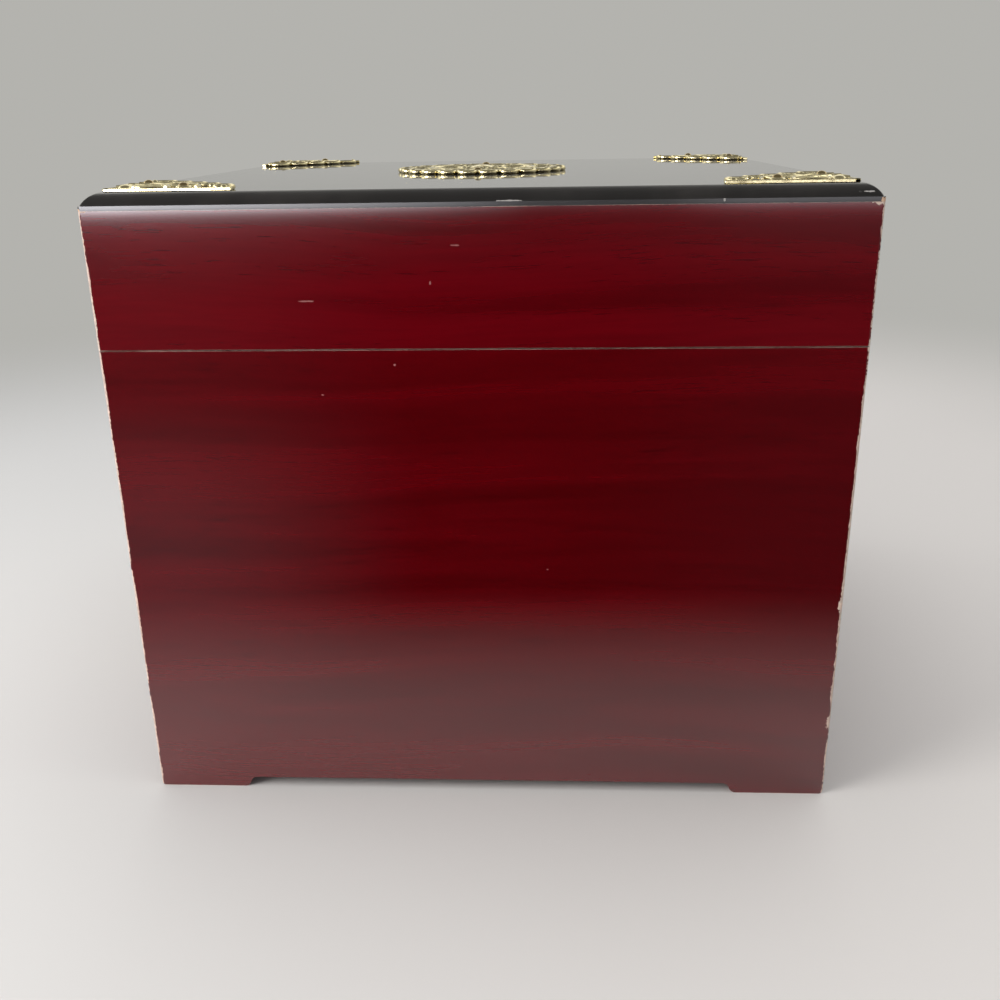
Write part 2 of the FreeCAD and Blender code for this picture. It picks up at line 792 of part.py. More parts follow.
def corner_fitting(label, left, front_edge, degrees):
    """One openwork corner: raised rims along the two edges, a fan of pierced petals, a lobed edge."""
    body = new_body(label)
    plate = sketch_on(body, "XY_Plane", label + "_outline")
    draw(plate, [("0", "0"), ("fitting_arm", "0"), ("fitting_arm", "fitting_tip")]
         + lobed_edge() + [("0", "fitting_arm")])
    pad(body, plate, "fitting_plate")
    rim = sketch_on(body, "XY_Plane", label + "_rim", "fitting_plate")
    draw(rim, [("0", "0"), ("fitting_arm", "0"), ("fitting_arm", "fitting_rim_width"),
               ("fitting_rim_width", "fitting_rim_width"), ("fitting_rim_width", "fitting_arm"),
               ("0", "fitting_arm")])
    pad(body, rim, "fitting_rim_height - fitting_plate")
    piercing = sketch_on(body, "XY_Plane", label + "_piercing")
    for step in (-1, 0, 1):
        pointed_opening(piercing, 45 + step * FAN_DEGREES, "petal_start", "petal_stop", "fitting_rim_width")
    for step in (-0.5, 0.5):
        lozenge(piercing, 45 + step * FAN_DEGREES, "leaf_start", "leaf_stop", "fitting_rim_width")
    draw_diamond(piercing, "fitting_eye_reach", "fitting_eye_reach", "fitting_rib")
    for across, along in (("nail_far", "nail_near"), ("nail_near", "nail_far")):
        draw_diamond(piercing, across, along, "nail_hole")
    pocket(body, piercing, None, True)
    turn = FreeCAD.Rotation(FreeCAD.Vector(0, 0, 1), degrees)
    inset = "(flat_inset + fitting_inset)"
    across = f"-case_width / 2 + {inset}" if left else f"case_width / 2 - {inset}"
    along = f"front + {inset}" if front_edge else f"back - {inset}"
    keep(place(body, across, along, "lid_top", turn=turn), label)


def medallion():
    """The round openwork ornament: two raised rings, a boss and two rounds of pierced petals."""
    body = new_body("medallion")
    section = sketch_on(body, "XZ_Plane", "medallion_section")
    ring_in = "(medallion_ring_radius - medallion_ring_width / 2)"
    ring_out = "(medallion_ring_radius + medallion_ring_width / 2)"
    rim_in = "(medallion_radius - medallion_rim_width)"
    crest = "medallion_rim_height"
    draw(section, [
        ("0", "0"),
        ("medallion_radius", "0"),
        ("medallion_radius", "medallion_plate"),
        (f"({rim_in} + medallion_radius) / 2", crest),
        (rim_in, "medallion_plate"),
        (ring_out, "medallion_plate"),
        ("medallion_ring_radius", crest),
        (ring_in, "medallion_plate"),
        ("medallion_boss_radius", "medallion_plate"),
        ("medallion_crown_radius", "medallion_boss_height"),
        ("0", "medallion_boss_height"),
    ])
    turned = body.newObject("PartDesign::Revolution", "MedallionTurned")
    turned.Profile = section
    axis = next(item for item in body.Origin.OriginFeatures if item.Role == "Z_Axis")
    turned.ReferenceAxis = (axis, [""])
    turned.Angle = 360
    half_rib = "fitting_rib / 2"
    rounds = ((pointed_opening, OUTER_PETALS, f"({ring_out} + {half_rib})", f"({rim_in} - {half_rib})"),
              (lozenge, INNER_PETALS, f"(medallion_boss_radius + {half_rib})", f"({ring_in} - {half_rib})"))
    for cut, count, start, stop in rounds:
        piercing = sketch_on(body, "XY_Plane", f"medallion_piercing_{count}")
        cut(piercing, 180 / count, start, stop)
        opening = pocket(body, piercing, None, True)
        polar(body, opening, count)
    holes = sketch_on(body, "XY_Plane", "medallion_nail_holes")
    for across in (-1, 1):
        draw_diamond(holes, f"{across} * medallion_nail_reach", "0", "nail_hole")
    pocket(body, holes, None, True)
    keep(place(body, "0", "middle - medallion_forward", "lid_top"), "medallion")


def dome_nails():
    """Every dome nail of the lid, each one a solid of its own with a square shank."""
    nails = []
    for index, (across, along, plate) in enumerate(nail_places()):
        body = new_body(f"nail_{index}")
        head = sketch_on(body, "XY_Plane", f"nail_head_{index}")
        draw(head, ring_of(ROUND_SIDES, "nail_head_radius"))
        pad(body, head, "nail_head_height")
        bevel_edges(body, "nail_head_bevel", lambda point: near(point.z, "nail_head_height"))
        shank = sketch_on(body, "XY_Plane", f"nail_shank_{index}")
        draw(shank, ring_of(PEG_SIDES, "nail_shank"))
        pad(body, shank, "nail_length", True)
        nails.append(place(body, across, f"middle + {along}", f"lid_top + {plate}"))
    keep(group("lid_nails", nails), "lid_nails")


def brass_on_lid():
    corner_fitting("corner_fitting_front_left", True, True, 0)
    corner_fitting("corner_fitting_front_right", False, True, 90)
    corner_fitting("corner_fitting_back_right", False, False, 180)
    corner_fitting("corner_fitting_back_left", True, False, 270)
    medallion()
    dome_nails()


# Hinges

def hinge_leaf(side, centre, which):
    """One leaf with its own knuckles; the other leaf's knuckles fill the gaps between them."""
    label = f"hinge_{side}_{which}_leaf"
    low = "case_height - leaf_thickness" if which == "lower" else "lid_base"
    start = f"({centre} - hinge_length / 2)"
    plate = block(label + "_plate", ("hinge_length", "leaf_width", "leaf_thickness"),
                  (start, "back - leaf_setback - leaf_width", low))
    solids = [plate]
    length = f"(hinge_length / {KNUCKLES})"
    for index in range(0 if which == "lower" else 1, KNUCKLES, 2):
        knuckle_start = f"{start} + {index} * {length} + knuckle_gap / 2"
        solids.append(rod(f"{label}_knuckle_{index}", "knuckle_radius", f"{length} - knuckle_gap",
                          (knuckle_start, "hinge_y", "hinge_z"), TO_X))
        solids.append(block(f"{label}_web_{index}",
                            (f"{length} - knuckle_gap", "leaf_setback + hinge_offset", "leaf_thickness"),
                            (knuckle_start, "back - leaf_setback", low)))
    tools = [rod(label + "_bore", "pin_radius + pin_clearance", "hinge_length + 2 * wall",
                 (f"{start} - wall", "hinge_y", "hinge_z"), TO_X)]
    for step in SCREW_STEPS:
        across, along = screw_at(centre, step)
        recess = f"{low} + leaf_thickness - screw_head_height" if which == "lower" else low
        tools.append(peg(f"{label}_hole_{step + 1}", ROUND_SIDES, "screw_shank_radius + nail_clearance",
                         "leaf_thickness", (across, along, low)))
        tools.append(peg(f"{label}_recess_{step + 1}", ROUND_SIDES, "screw_head_radius + nail_clearance",
                         "screw_head_height", (across, along, recess)))
    keep(cut_away(label + "_cut", joined(label + "_whole", solids), tools), label)


def hinge_screws(which):
    """The screws that hold one pair of leaves."""
    screws = []
    for side, step, centre in screw_places():
        across, along = screw_at(centre, step)
        name = f"screw_{which}_{side}_{step + 1}"
        if which == "lower":
            head_low, shank_low = "case_height - screw_head_height", "case_height - screw_length"
        else:
            head_low, shank_low = "lid_base", "lid_base + screw_head_height"
        head = peg(name + "_head", ROUND_SIDES, "screw_head_radius", "screw_head_height",
                   (across, along, head_low))
        shank = peg(name + "_shank", ROUND_SIDES, "screw_shank_radius", "screw_length - screw_head_height",
                    (across, along, shank_low))
        screws.append(joined(name, [head, shank]))
    keep(group(f"hinge_screws_{which}", screws), f"hinge_screws_{which}")


def hinges():
    pins = []
    for side, centre in hinge_centres().items():
        hinge_leaf(side, centre, "lower")
        hinge_leaf(side, centre, "upper")
        pins.append(rod(f"pin_{side}", "pin_radius", "hinge_length",
                        (f"{centre} - hinge_length / 2", "hinge_y", "hinge_z"), TO_X))
    keep(group("hinge_pins", pins), "hinge_pins")
    hinge_screws("lower")
    hinge_screws("upper")


# Drawers

def drawer_box(name, floor):
    """The wooden box of a drawer: eased front, grooved sides, back and a bottom let into grooves."""
    low = f"({floor} + drawer_runner_gap)"
    bottom_low = f"({low} + drawer_bottom_raise)"
    bottom_top = f"({bottom_low} + drawer_bottom)"
    length = "(drawer_end - drawer_start)"
    front_board = new_body(f"drawer_{name}_board")
    outline = sketch_on(front_board, "XZ_Plane", f"drawer_{name}_outline")
    draw(outline, rectangle("-inner_width / 2 + drawer_gap", "drawer_gap",
                            "inner_width - 2 * drawer_gap", "bay - 2 * drawer_gap"))
    pad(front_board, outline, "drawer_front_thickness")
    bevel_edges(front_board, "drawer_front_bevel",
                lambda point: near(point.y, "-drawer_front_thickness"))
    place(front_board, "0", "drawer_start", floor)
    groove_span = "drawer_inner + 2 * drawer_bottom_groove"
    cuts = [block(f"drawer_{name}_front_groove", (groove_span, "2 * drawer_bottom_groove", "drawer_bottom"),
                  (f"-({groove_span}) / 2", "drawer_start - drawer_bottom_groove", bottom_low))]
    for side in (-1, 1):
        cuts.append(peg(f"drawer_{name}_stem_hole_{side + 1}", PEG_SIDES, "post_stem + nail_clearance",
                        "post_stem_length + wall",
                        (f"{side} * post_spacing / 2", "front - wall", pull_height(floor)), TO_Y))
    keep(cut_away(f"drawer_{name}_front_cut", front_board, cuts), f"drawer_{name}_front")
    for side in ("left", "right"):
        across = "-drawer_outer / 2" if side == "left" else "drawer_outer / 2 - drawer_side"
        board = block(f"drawer_{name}_{side}_board", ("drawer_side", length, "drawer_side_height"),
                      (across, "drawer_start", low))
        groove = block(f"drawer_{name}_{side}_groove", (groove_span, length, "drawer_bottom"),
                       (f"-({groove_span}) / 2", "drawer_start", bottom_low))
        keep(cut_away(f"drawer_{name}_{side}_cut", board, [groove]), f"drawer_{name}_side_{side}")
    keep(block(f"drawer_{name}_back", ("drawer_inner", "drawer_side",
                                       "drawer_side_height - drawer_bottom_raise - drawer_bottom"),
               ("-drawer_inner / 2", "drawer_end - drawer_side", bottom_top)), f"drawer_{name}_back")
    keep(block(f"drawer_{name}_bottom", (groove_span, f"{length} + drawer_bottom_groove", "drawer_bottom"),
               (f"-({groove_span}) / 2", "drawer_start - drawer_bottom_groove", bottom_low)),
         f"drawer_{name}_bottom")
    lining_depth = f"({length} - drawer_side)"
    lining_height = "(drawer_side_height - drawer_bottom_raise - drawer_bottom - lining_setdown)"
    outside = block(f"drawer_{name}_lining_outside", ("drawer_inner", lining_depth, lining_height),
                    ("-drawer_inner / 2", "drawer_start", bottom_top))
    inside = block(f"drawer_{name}_lining_inside",
                   ("drawer_inner - 2 * lining_thickness", f"{lining_depth} - 2 * lining_thickness",
                    lining_height),
                   ("-drawer_inner / 2 + lining_thickness", "drawer_start + lining_thickness",
                    f"{bottom_top} + lining_thickness"))
    keep(cut_away(f"drawer_{name}_lining_cut", outside, [inside]), f"drawer_{name}_lining")


def pull_height(floor):
    """The height of a pull's posts above the floor that the drawer runs on."""
    return f"{floor} + bay / 2 + pull_rise"


def pull_plate(name, floor):
    """The lobed backplate of a pull, symmetrical both ways."""
    body = new_body(f"drawer_{name}_plate")
    outline = sketch_on(body, "XZ_Plane", f"drawer_{name}_plate_outline")
    lobe = ("pull_plate_height / 2", "left")
    quarter = [("pull_shoulder_reach", "pull_shoulder_rise"), ("pull_waist_reach", "pull_waist_rise"),
               ("pull_crown_reach", "pull_plate_height / 2")]
    corners = []
    for across, up in ((1, 1), (-1, 1), (-1, -1), (1, -1)):
        points = [(f"{across} * {reach}", f"{up} * {rise}") for reach, rise in quarter]
        if across == up:
            points[0] += lobe
        else:
            points = points[::-1] + [(f"{-up} * pull_plate_width / 2", "0") + lobe]
        corners += points
    draw(outline, corners)
    for side in (-1, 1):
        draw_diamond(outline, f"{side} * post_spacing / 2", "0", "(post_stem + nail_clearance)")
    pad(body, outline, "pull_plate_thickness")
    keep(place(body, "0", "front", pull_height(floor)), f"drawer_{name}_pull_plate")


def pull_posts(name, floor):
    """The two six-sided posts of a pull, each with a foot, a square stem and a cross bore."""
    posts = []
    flat_to_x = TO_FRONT * FreeCAD.Rotation(FreeCAD.Vector(0, 0, 1), 180 / POST_SIDES)
    axis_z = pull_height(floor)
    for side in (-1, 1):
        label = f"drawer_{name}_post_{side + 1}"
        across = f"{side} * post_spacing / 2"
        seat = "front - pull_plate_thickness"
        solids = [
            peg(label + "_foot", 2 * POST_SIDES, "post_foot", "post_foot_height",
                (across, seat, axis_z), TO_FRONT),
            peg(label + "_barrel", POST_SIDES, f"post_radius / cos({180 / POST_SIDES})", "post_length",
                (across, seat, axis_z), flat_to_x),
            peg(label + "_stem", PEG_SIDES, "post_stem", "post_stem_length + pull_plate_thickness",
                (across, seat, axis_z), TO_Y),
        ]
        bore = rod(label + "_bore", "bail_hole", "4 * post_radius",
                   (f"{across} - 2 * post_radius", "front - post_axis", axis_z), TO_X)
        posts.append(cut_away(label + "_bored", joined(label + "_whole", solids), [bore]))
    keep(group(f"drawer_{name}_pull_posts", posts), f"drawer_{name}_pull_posts")


def bail(name, floor):
    """The hanging bail: a flat loop with rounded ears, a pin through each post and a six-sided grip."""
    body = new_body(f"drawer_{name}_loop")
    outline = sketch_on(body, "XZ_Plane", f"drawer_{name}_loop_outline")
    turn_up, turn_in = "(bail_sweep - bail_drop)", "(bail_arm - bail_sweep)"
    outer, inner = "(bail_arm + bail_wire)", "(bail_arm - bail_wire)"
    big, small = "bail_sweep + bail_wire", "bail_sweep - bail_wire"
    draw(outline, [
        (outer, "0", "bail_wire", "right"),
        (outer, turn_up),
        (turn_in, "-bail_drop - bail_wire", big, "right"),
        (f"-{turn_in}", "-bail_drop - bail_wire"),
        (f"-{outer}", turn_up, big, "right"),
        (f"-{outer}", "0"),
        ("-bail_arm", "bail_wire", "bail_wire", "right"),
        (f"-{inner}", "0", "bail_wire", "right"),
        (f"-{inner}", turn_up),
        (f"-{turn_in}", "bail_wire - bail_drop", small, "left"),
        (turn_in, "bail_wire - bail_drop"),
        (inner, turn_up, small, "left"),
        (inner, "0"),
        ("bail_arm", "bail_wire", "bail_wire", "right"),
    ])
    pad(body, outline, "2 * bail_wire")
    axis_y, axis_z = "front - post_axis", pull_height(floor)
    place(body, "0", f"{axis_y} + bail_wire", axis_z)
    solids = [body]
    length = "bail_arm - post_spacing / 2 + post_radius"
    for side, start in (("left", "-bail_arm"), ("right", "post_spacing / 2 - post_radius")):
        solids.append(rod(f"drawer_{name}_pin_{side}", "bail_wire", length, (start, axis_y, axis_z), TO_X))
    solids.append(peg(f"drawer_{name}_grip", POST_SIDES, "grip_radius", "grip_length",
                      ("-grip_length / 2", axis_y, f"{axis_z} - bail_drop"), TO_X))
    keep(joined(f"drawer_{name}_bail", solids), f"drawer_{name}_bail")


def drawer(level, name):
    """One drawer with its pull."""
    floor = shelf_height(level)
    drawer_box(name, floor)
    pull_plate(name, floor)
    pull_posts(name, floor)
    bail(name, floor)


# Building, checking and writing

def check_and_write():
    """Stops on anything that failed, then writes each piece to its file."""
    document.recompute()
    for item in document.Objects:
        if "Invalid" in item.State or "Error" in item.State:
            raise RuntimeError(f"{item.Label} failed: {item.State}")
    for piece in pieces:
        shape = piece.Shape
        if shape.isNull() or not shape.isValid() or not shape.Solids:
            raise RuntimeError(f"{piece.Label} has no valid solid")
    os.makedirs("parts", exist_ok=True)
    for piece in pieces:
        piece.Shape.exportStep(f"parts/{piece.Label}.step")
    print(len(pieces), "pieces,", sum(len(piece.Shape.Solids) for piece in pieces), "solids")


case()
tray()
lid()
brass_on_lid()
hinges()
for drawer_level, drawer_name in enumerate(DRAWERS):
    drawer(drawer_level, drawer_name)
check_and_write()
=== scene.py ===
"""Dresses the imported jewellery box: lacquered wood, openwork brass, velvet and a mirror.

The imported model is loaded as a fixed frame. Its wooden parts keep their shape and get finishes here. The
brass, the cloth and the glass are modelled again with more detail and stand for their plain solids.
"""

from __future__ import annotations

import logging
import math
from dataclasses import dataclass
from enum import Enum
from typing import Callable, Iterable, Mapping, Sequence

import bmesh
import bpy
from bpy.types import Material, Node, NodeSocket, NodeTree, Object
from mathutils import Matrix, Vector

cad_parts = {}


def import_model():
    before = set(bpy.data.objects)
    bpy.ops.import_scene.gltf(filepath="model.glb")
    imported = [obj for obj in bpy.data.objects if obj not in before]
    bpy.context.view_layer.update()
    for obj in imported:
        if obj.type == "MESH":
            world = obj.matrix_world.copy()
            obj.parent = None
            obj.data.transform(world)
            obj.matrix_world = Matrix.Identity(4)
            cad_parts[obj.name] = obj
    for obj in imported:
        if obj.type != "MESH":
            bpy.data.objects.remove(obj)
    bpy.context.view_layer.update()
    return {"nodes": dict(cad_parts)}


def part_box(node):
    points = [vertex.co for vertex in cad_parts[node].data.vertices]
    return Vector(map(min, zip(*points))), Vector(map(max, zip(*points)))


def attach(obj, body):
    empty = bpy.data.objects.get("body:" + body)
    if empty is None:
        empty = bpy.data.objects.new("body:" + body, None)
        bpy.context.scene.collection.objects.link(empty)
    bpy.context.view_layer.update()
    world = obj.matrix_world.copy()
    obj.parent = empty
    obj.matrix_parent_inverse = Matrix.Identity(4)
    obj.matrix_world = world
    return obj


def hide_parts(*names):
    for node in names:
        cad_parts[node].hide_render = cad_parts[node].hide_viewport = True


LOG = logging.getLogger("jewellery_box")
MM = 0.001
DRAWERS = ("lower", "middle", "upper")
UPWARDS = 0.9  # a face whose normal rises more than this looks up

Point = tuple[float, float, float]
Colour = tuple[float, float, float]


class Body(Enum):
    """The moving groups of the box that are not named after a drawer."""

    CASE = "case"
    LID = "lid"


class Slot(Enum):
    """The record's material slots that new pieces are handed; no piece is given one."""

    BLACK = "black_lacquer"
    BRASS = "brass"
    CLOTH = "lining_cloth"
    MIRROR = "mirror_glass"


class Grain(Enum):
    """The direction in which the wood grain runs, as how much the pattern shrinks along each axis."""

    ACROSS = (4.0, 70.0, 70.0)
    ALONG = (70.0, 4.0, 70.0)


class Part(Enum):
    """The kinds of parts that a mesh is selected by."""

    VERT = "verts"
    EDGE = "edges"
    FACE = "faces"


# Shader nodes


@dataclass(frozen=True)
class Noise:
    """How fine a noise pattern is, its layers, the strength of the finer ones and how far it is warped."""

    scale: float
    detail: float = 3.0
    roughness: float = 0.5
    distortion: float = 0.0


def operator(name: str) -> Callable[..., Signal]:
    """An operator of signals that adds a Math node."""
    return lambda first, second=None: first.tree.math(name, first, second)


class Signal:
    """A value that shader nodes work out and that reckons like a number; a | b is the larger of two."""

    def __init__(self, tree: Tree, socket: NodeSocket) -> None:
        """Keeps where the value comes from."""
        self.tree = tree
        self.socket = socket

    __add__ = operator("ADD")
    __sub__ = operator("SUBTRACT")
    __mul__ = operator("MULTIPLY")
    __truediv__ = operator("DIVIDE")
    __gt__ = operator("GREATER_THAN")
    __lt__ = operator("LESS_THAN")
    __or__ = operator("MAXIMUM")
    __abs__ = operator("ABSOLUTE")

    def __rsub__(self, other: float) -> Signal:
        """Takes the value away from a plain number."""
        return self.tree.math("SUBTRACT", other, self)

    def clamped(self) -> Signal:
        """Holds the last step's result between 0 and 1."""
        self.socket.node.use_clamp = True
        return self

    def span(self, low: float, high: float, bottom: float = 0.0, top: float = 1.0,
             smooth: bool = True) -> Signal:
        """Maps a range of the value onto another.

        Args:
            low: the value that becomes bottom.
            high: the value that becomes top.
            bottom: the result at low.
            top: the result at high.
            smooth: whether the step is smooth.

        Returns:
            The result.
        """
        made = self.tree.node("ShaderNodeMapRange", {"Value": self, "From Min": low, "From Max": high,
                                                     "To Min": bottom, "To Max": top},
                              interpolation_type="SMOOTHSTEP" if smooth else "LINEAR")
        return Signal(self.tree, made.outputs["Result"])


class Tree:
    """A node tree that is wired up in code."""

    def __init__(self, nodes: NodeTree) -> None:
        """Keeps the tree."""
        self.tree = nodes

    def node(self, kind: str, given: Mapping[str | int, object] | None = None, **settings: object) -> Node:
        """Adds a node.

        Args:
            kind: the node's type name.
            given: what feeds its inputs, by name or number.
            settings: its properties.

        Returns:
            The new node.
        """
        made = self.tree.nodes.new(kind)
        for name, value in settings.items():
            setattr(made, name, value)
        for key, value in (given or {}).items():
            self.feed(made.inputs[key], value)
        return made

    def feed(self, target: NodeSocket, value: object) -> None:
        """Links a value to an input, or sets the input to a plain value.

        Args:
            target: the input socket.
            value: a signal, an output socket, a colour, a number, or None to leave the input alone.
        """
        if isinstance(value, Signal):
            value = value.socket
        if isinstance(value, NodeSocket):
            self.tree.links.new(value, target)
        elif value is not None:
            target.default_value = (*value, 1.0) if target.type == "RGBA" else value

    def math(self, operation: str, first: object, second: object = None) -> Signal:
        """Adds a Math node."""
        return Signal(self, self.node("ShaderNodeMath", {0: first, 1: second}, operation=operation).outputs[0])

    def vector(self, operation: str, first: object, second: object = None) -> Signal:
        """Adds a Vector Math node."""
        made = self.node("ShaderNodeVectorMath", {0: first, 1: second}, operation=operation)
        return Signal(self, made.outputs["Value" if operation == "LENGTH" else "Vector"])

    def split(self, place: object) -> list[Signal]:
        """Takes a vector apart."""
        return [Signal(self, part) for part in self.node("ShaderNodeSeparateXYZ", {0: place}).outputs]

    def noise(self, place: object, look: Noise) -> Signal:
        """Adds a Noise Texture node."""
        made = self.node("ShaderNodeTexNoise", {"Vector": place, "Scale": look.scale, "Detail": look.detail,
                                                "Roughness": look.roughness, "Distortion": look.distortion})
        return Signal(self, made.outputs["Fac"])

    def blend(self, share: object, first: object, second: object) -> Signal:
        """Mixes two colours.

        Args:
            share: how much of the second.
            first: the first colour.
            second: the second colour.

        Returns:
            The mixed colour.
        """
        made = self.node("ShaderNodeMix", data_type="RGBA")
        for index, value in ((0, share), (6, first), (7, second)):
            self.feed(made.inputs[index], value)
        return Signal(self, made.outputs[2])

    def merge(self, share: object, first: Node, second: Node) -> Node:
        """Mixes two shaders."""
        return self.node("ShaderNodeMixShader", {0: share, 1: first.outputs[0], 2: second.outputs[0]})

    def relief(self, height: object, depth: float) -> Signal:
        """Adds a Bump node."""
        made = self.node("ShaderNodeBump", {"Strength": 1.0, "Distance": depth, "Height": height})
        return Signal(self, made.outputs["Normal"])

    def use(self, group: NodeTree, **inputs: object) -> dict[str, Signal]:
        """Places a node group.

        Args:
            group: the group.
            inputs: its inputs, by name.

        Returns:
            Its outputs, by name.
        """
        made = self.node("ShaderNodeGroup", node_tree=group)
        for name, value in inputs.items():
            self.feed(made.inputs[name], value)
        return {socket.name: Signal(self, socket) for socket in made.outputs}


class Group(Tree):
    """A node group with named inputs and outputs."""

    def __init__(self, name: str, vectors: Sequence[str], numbers: Sequence[str],
                 results: Sequence[str]) -> None:
        """Makes an empty group.

        Args:
            name: the group's name.
            vectors: its inputs that are vectors.
            numbers: its inputs that are numbers.
            results: its outputs, which are numbers.
        """
        super().__init__(bpy.data.node_groups.new(name, "ShaderNodeTree"))
        for way, kind, labels in (("INPUT", "Vector", vectors), ("INPUT", "Float", numbers),
                                  ("OUTPUT", "Float", results)):
            for label in labels:
                self.tree.interface.new_socket(label, in_out=way, socket_type="NodeSocket" + kind)
        self.given = {socket.name: Signal(self, socket) for socket in self.node("NodeGroupInput").outputs}

    def put(self, **results: Signal) -> NodeTree:
        """Sends out the results."""
        self.node("NodeGroupOutput", results)
        return self.tree


@dataclass(frozen=True)
class Effects:
    """The effects that several finishes share."""

    grain: NodeTree
    arris: NodeTree
    chip: NodeTree
    specks: NodeTree
    nap: NodeTree


def grain_group() -> NodeTree:
    """Wood grain: a broad figure, fine dark lines and short pores.

    Returns:
        The group.
    """
    group = Group("wood grain", ("Place", "Stretch"), (), ("Figure", "Lines", "Pores"))
    place = group.given["Place"]
    sway = group.node("ShaderNodeCombineXYZ", {"Z": group.noise(place, Noise(5.0, 1.0)) * 0.022})
    bent = group.vector("ADD", place, sway.outputs[0])
    stretched = group.vector("MULTIPLY", bent, group.given["Stretch"])
    figure = group.noise(stretched, Noise(0.75, 3.0, 0.5, 0.6))
    lines = group.noise(stretched, Noise(6.5, 5.0, 0.62, 0.2))
    pores = group.noise(stretched, Noise(17.0, 2.0, 0.6, 0.1))
    clusters = group.noise(stretched, Noise(1.3, 2.0, 0.5, 0.5))
    return group.put(Figure=figure.span(0.30, 0.70), Lines=lines.span(0.34, 0.68),
                     Pores=pores.span(0.56, 0.72) * clusters.span(0.42, 0.66))


def arris_group() -> NodeTree:
    """Worn edges of a box-shaped carcase: bare where two of its outer faces meet.

    Returns:
        The group.
    """
    group = Group("worn edges", ("Place", "Low", "High"), ("Upright", "Level", "Gaps"), ("Bare",))
    place = group.given["Place"]
    below = group.vector("SUBTRACT", place, group.given["Low"])
    above = group.vector("SUBTRACT", group.given["High"], place)
    x, y, z = group.split(group.vector("ABSOLUTE", group.vector("MINIMUM", below, above)))
    broad, fine = group.noise(place, Noise(45.0, 3.0, 0.6)), group.noise(place, Noise(600.0, 2.0, 0.6))
    ragged = broad * 0.7 + fine * 0.3 - group.given["Gaps"]
    upright, level = ragged * group.given["Upright"], ragged * group.given["Level"]
    return group.put(Bare=(upright > x + y) | (level > x + z) | (level > y + z))


def chip_group() -> NodeTree:
    """One ragged chip round a point.

    Returns:
        The group.
    """
    group = Group("chip", ("Place", "Centre", "Stretch"), ("Radius",), ("Bare",))
    offset = group.vector("SUBTRACT", group.given["Place"], group.given["Centre"])
    away = group.vector("LENGTH", group.vector("MULTIPLY", offset, group.given["Stretch"]))
    ragged = group.noise(group.given["Place"], Noise(700.0, 3.0, 0.65)) * 2.0
    return group.put(Bare=ragged * group.given["Radius"] > away)


def specks_group() -> NodeTree:
    """A few pale specks of dust and tiny knocks.

    Returns:
        The group.
    """
    group = Group("specks", ("Place",), ("Rarity",), ("Mask",))
    cells = group.node("ShaderNodeTexVoronoi", {"Vector": group.given["Place"], "Scale": 55.0})
    chance = group.node("ShaderNodeSeparateColor", {0: cells.outputs["Color"]})
    near = Signal(group, cells.outputs["Distance"]) < 0.032
    return group.put(Mask=near * (Signal(group, chance.outputs[0]) > group.given["Rarity"]))


def nap_group() -> NodeTree:
    """Brushed velvet: patches that lie one way or the other, and fine fibres.

    Returns:
        The group.
    """
    group = Group("nap", ("Place",), (), ("Patches", "Fibres"))
    patches = group.noise(group.given["Place"], Noise(22.0, 3.0, 0.55, 1.2))
    return group.put(Patches=patches.span(0.30, 0.70),
                     Fibres=group.noise(group.given["Place"], Noise(2600.0, 2.0, 0.7)))


# Finishes


@dataclass(frozen=True)
class Chip:
    """Where a flake of lacquer is gone, its size and its stretch along each axis."""

    centre: Point
    radius: float
    stretch: Point = (1.0, 1.0, 1.0)


class Finish:
    """A material built on one Principled shader. Its place is a point in the box's own frame."""

    def __init__(self, name: str) -> None:
        """Makes the material.

        Args:
            name: its name.
        """
        self.material = bpy.data.materials.new(name)
        self.material.use_nodes = True
        self.nodes = self.material.node_tree.nodes
        self.tree = Tree(self.material.node_tree)
        self.shader = self.nodes["Principled BSDF"]
        self.place = Signal(self.tree, self.tree.node("ShaderNodeTexCoord").outputs["Object"])

    def set(self, **values: object) -> Material:
        """Sets or links inputs of the shader."""
        for name, value in values.items():
            self.tree.feed(self.shader.inputs[name.replace("_", " ")], value)
        return self.material

    def show(self, surface: Node) -> Material:
        """Shows another shader in place of the Principled one."""
        self.tree.feed(self.nodes["Material Output"].inputs["Surface"], surface.outputs[0])
        return self.material

    def marked(self, chip: NodeTree, chips: Sequence[Chip], mask: Signal | None = None) -> Signal:
        """Adds ragged marks to a mask.

        Args:
            chip: the effect that draws one.
            chips: the marks.
            mask: the mask so far.

        Returns:
            The mask with the marks.
        """
        for one in chips:
            flake = self.tree.use(chip, Place=self.place, Centre=one.centre, Stretch=one.stretch,
                                  Radius=one.radius)["Bare"]
            mask = flake if mask is None else mask | flake
        return mask


def darker(colour: Colour, share: float = 0.7) -> Colour:
    """A darker shade of a colour."""
    return tuple(share * part for part in colour)


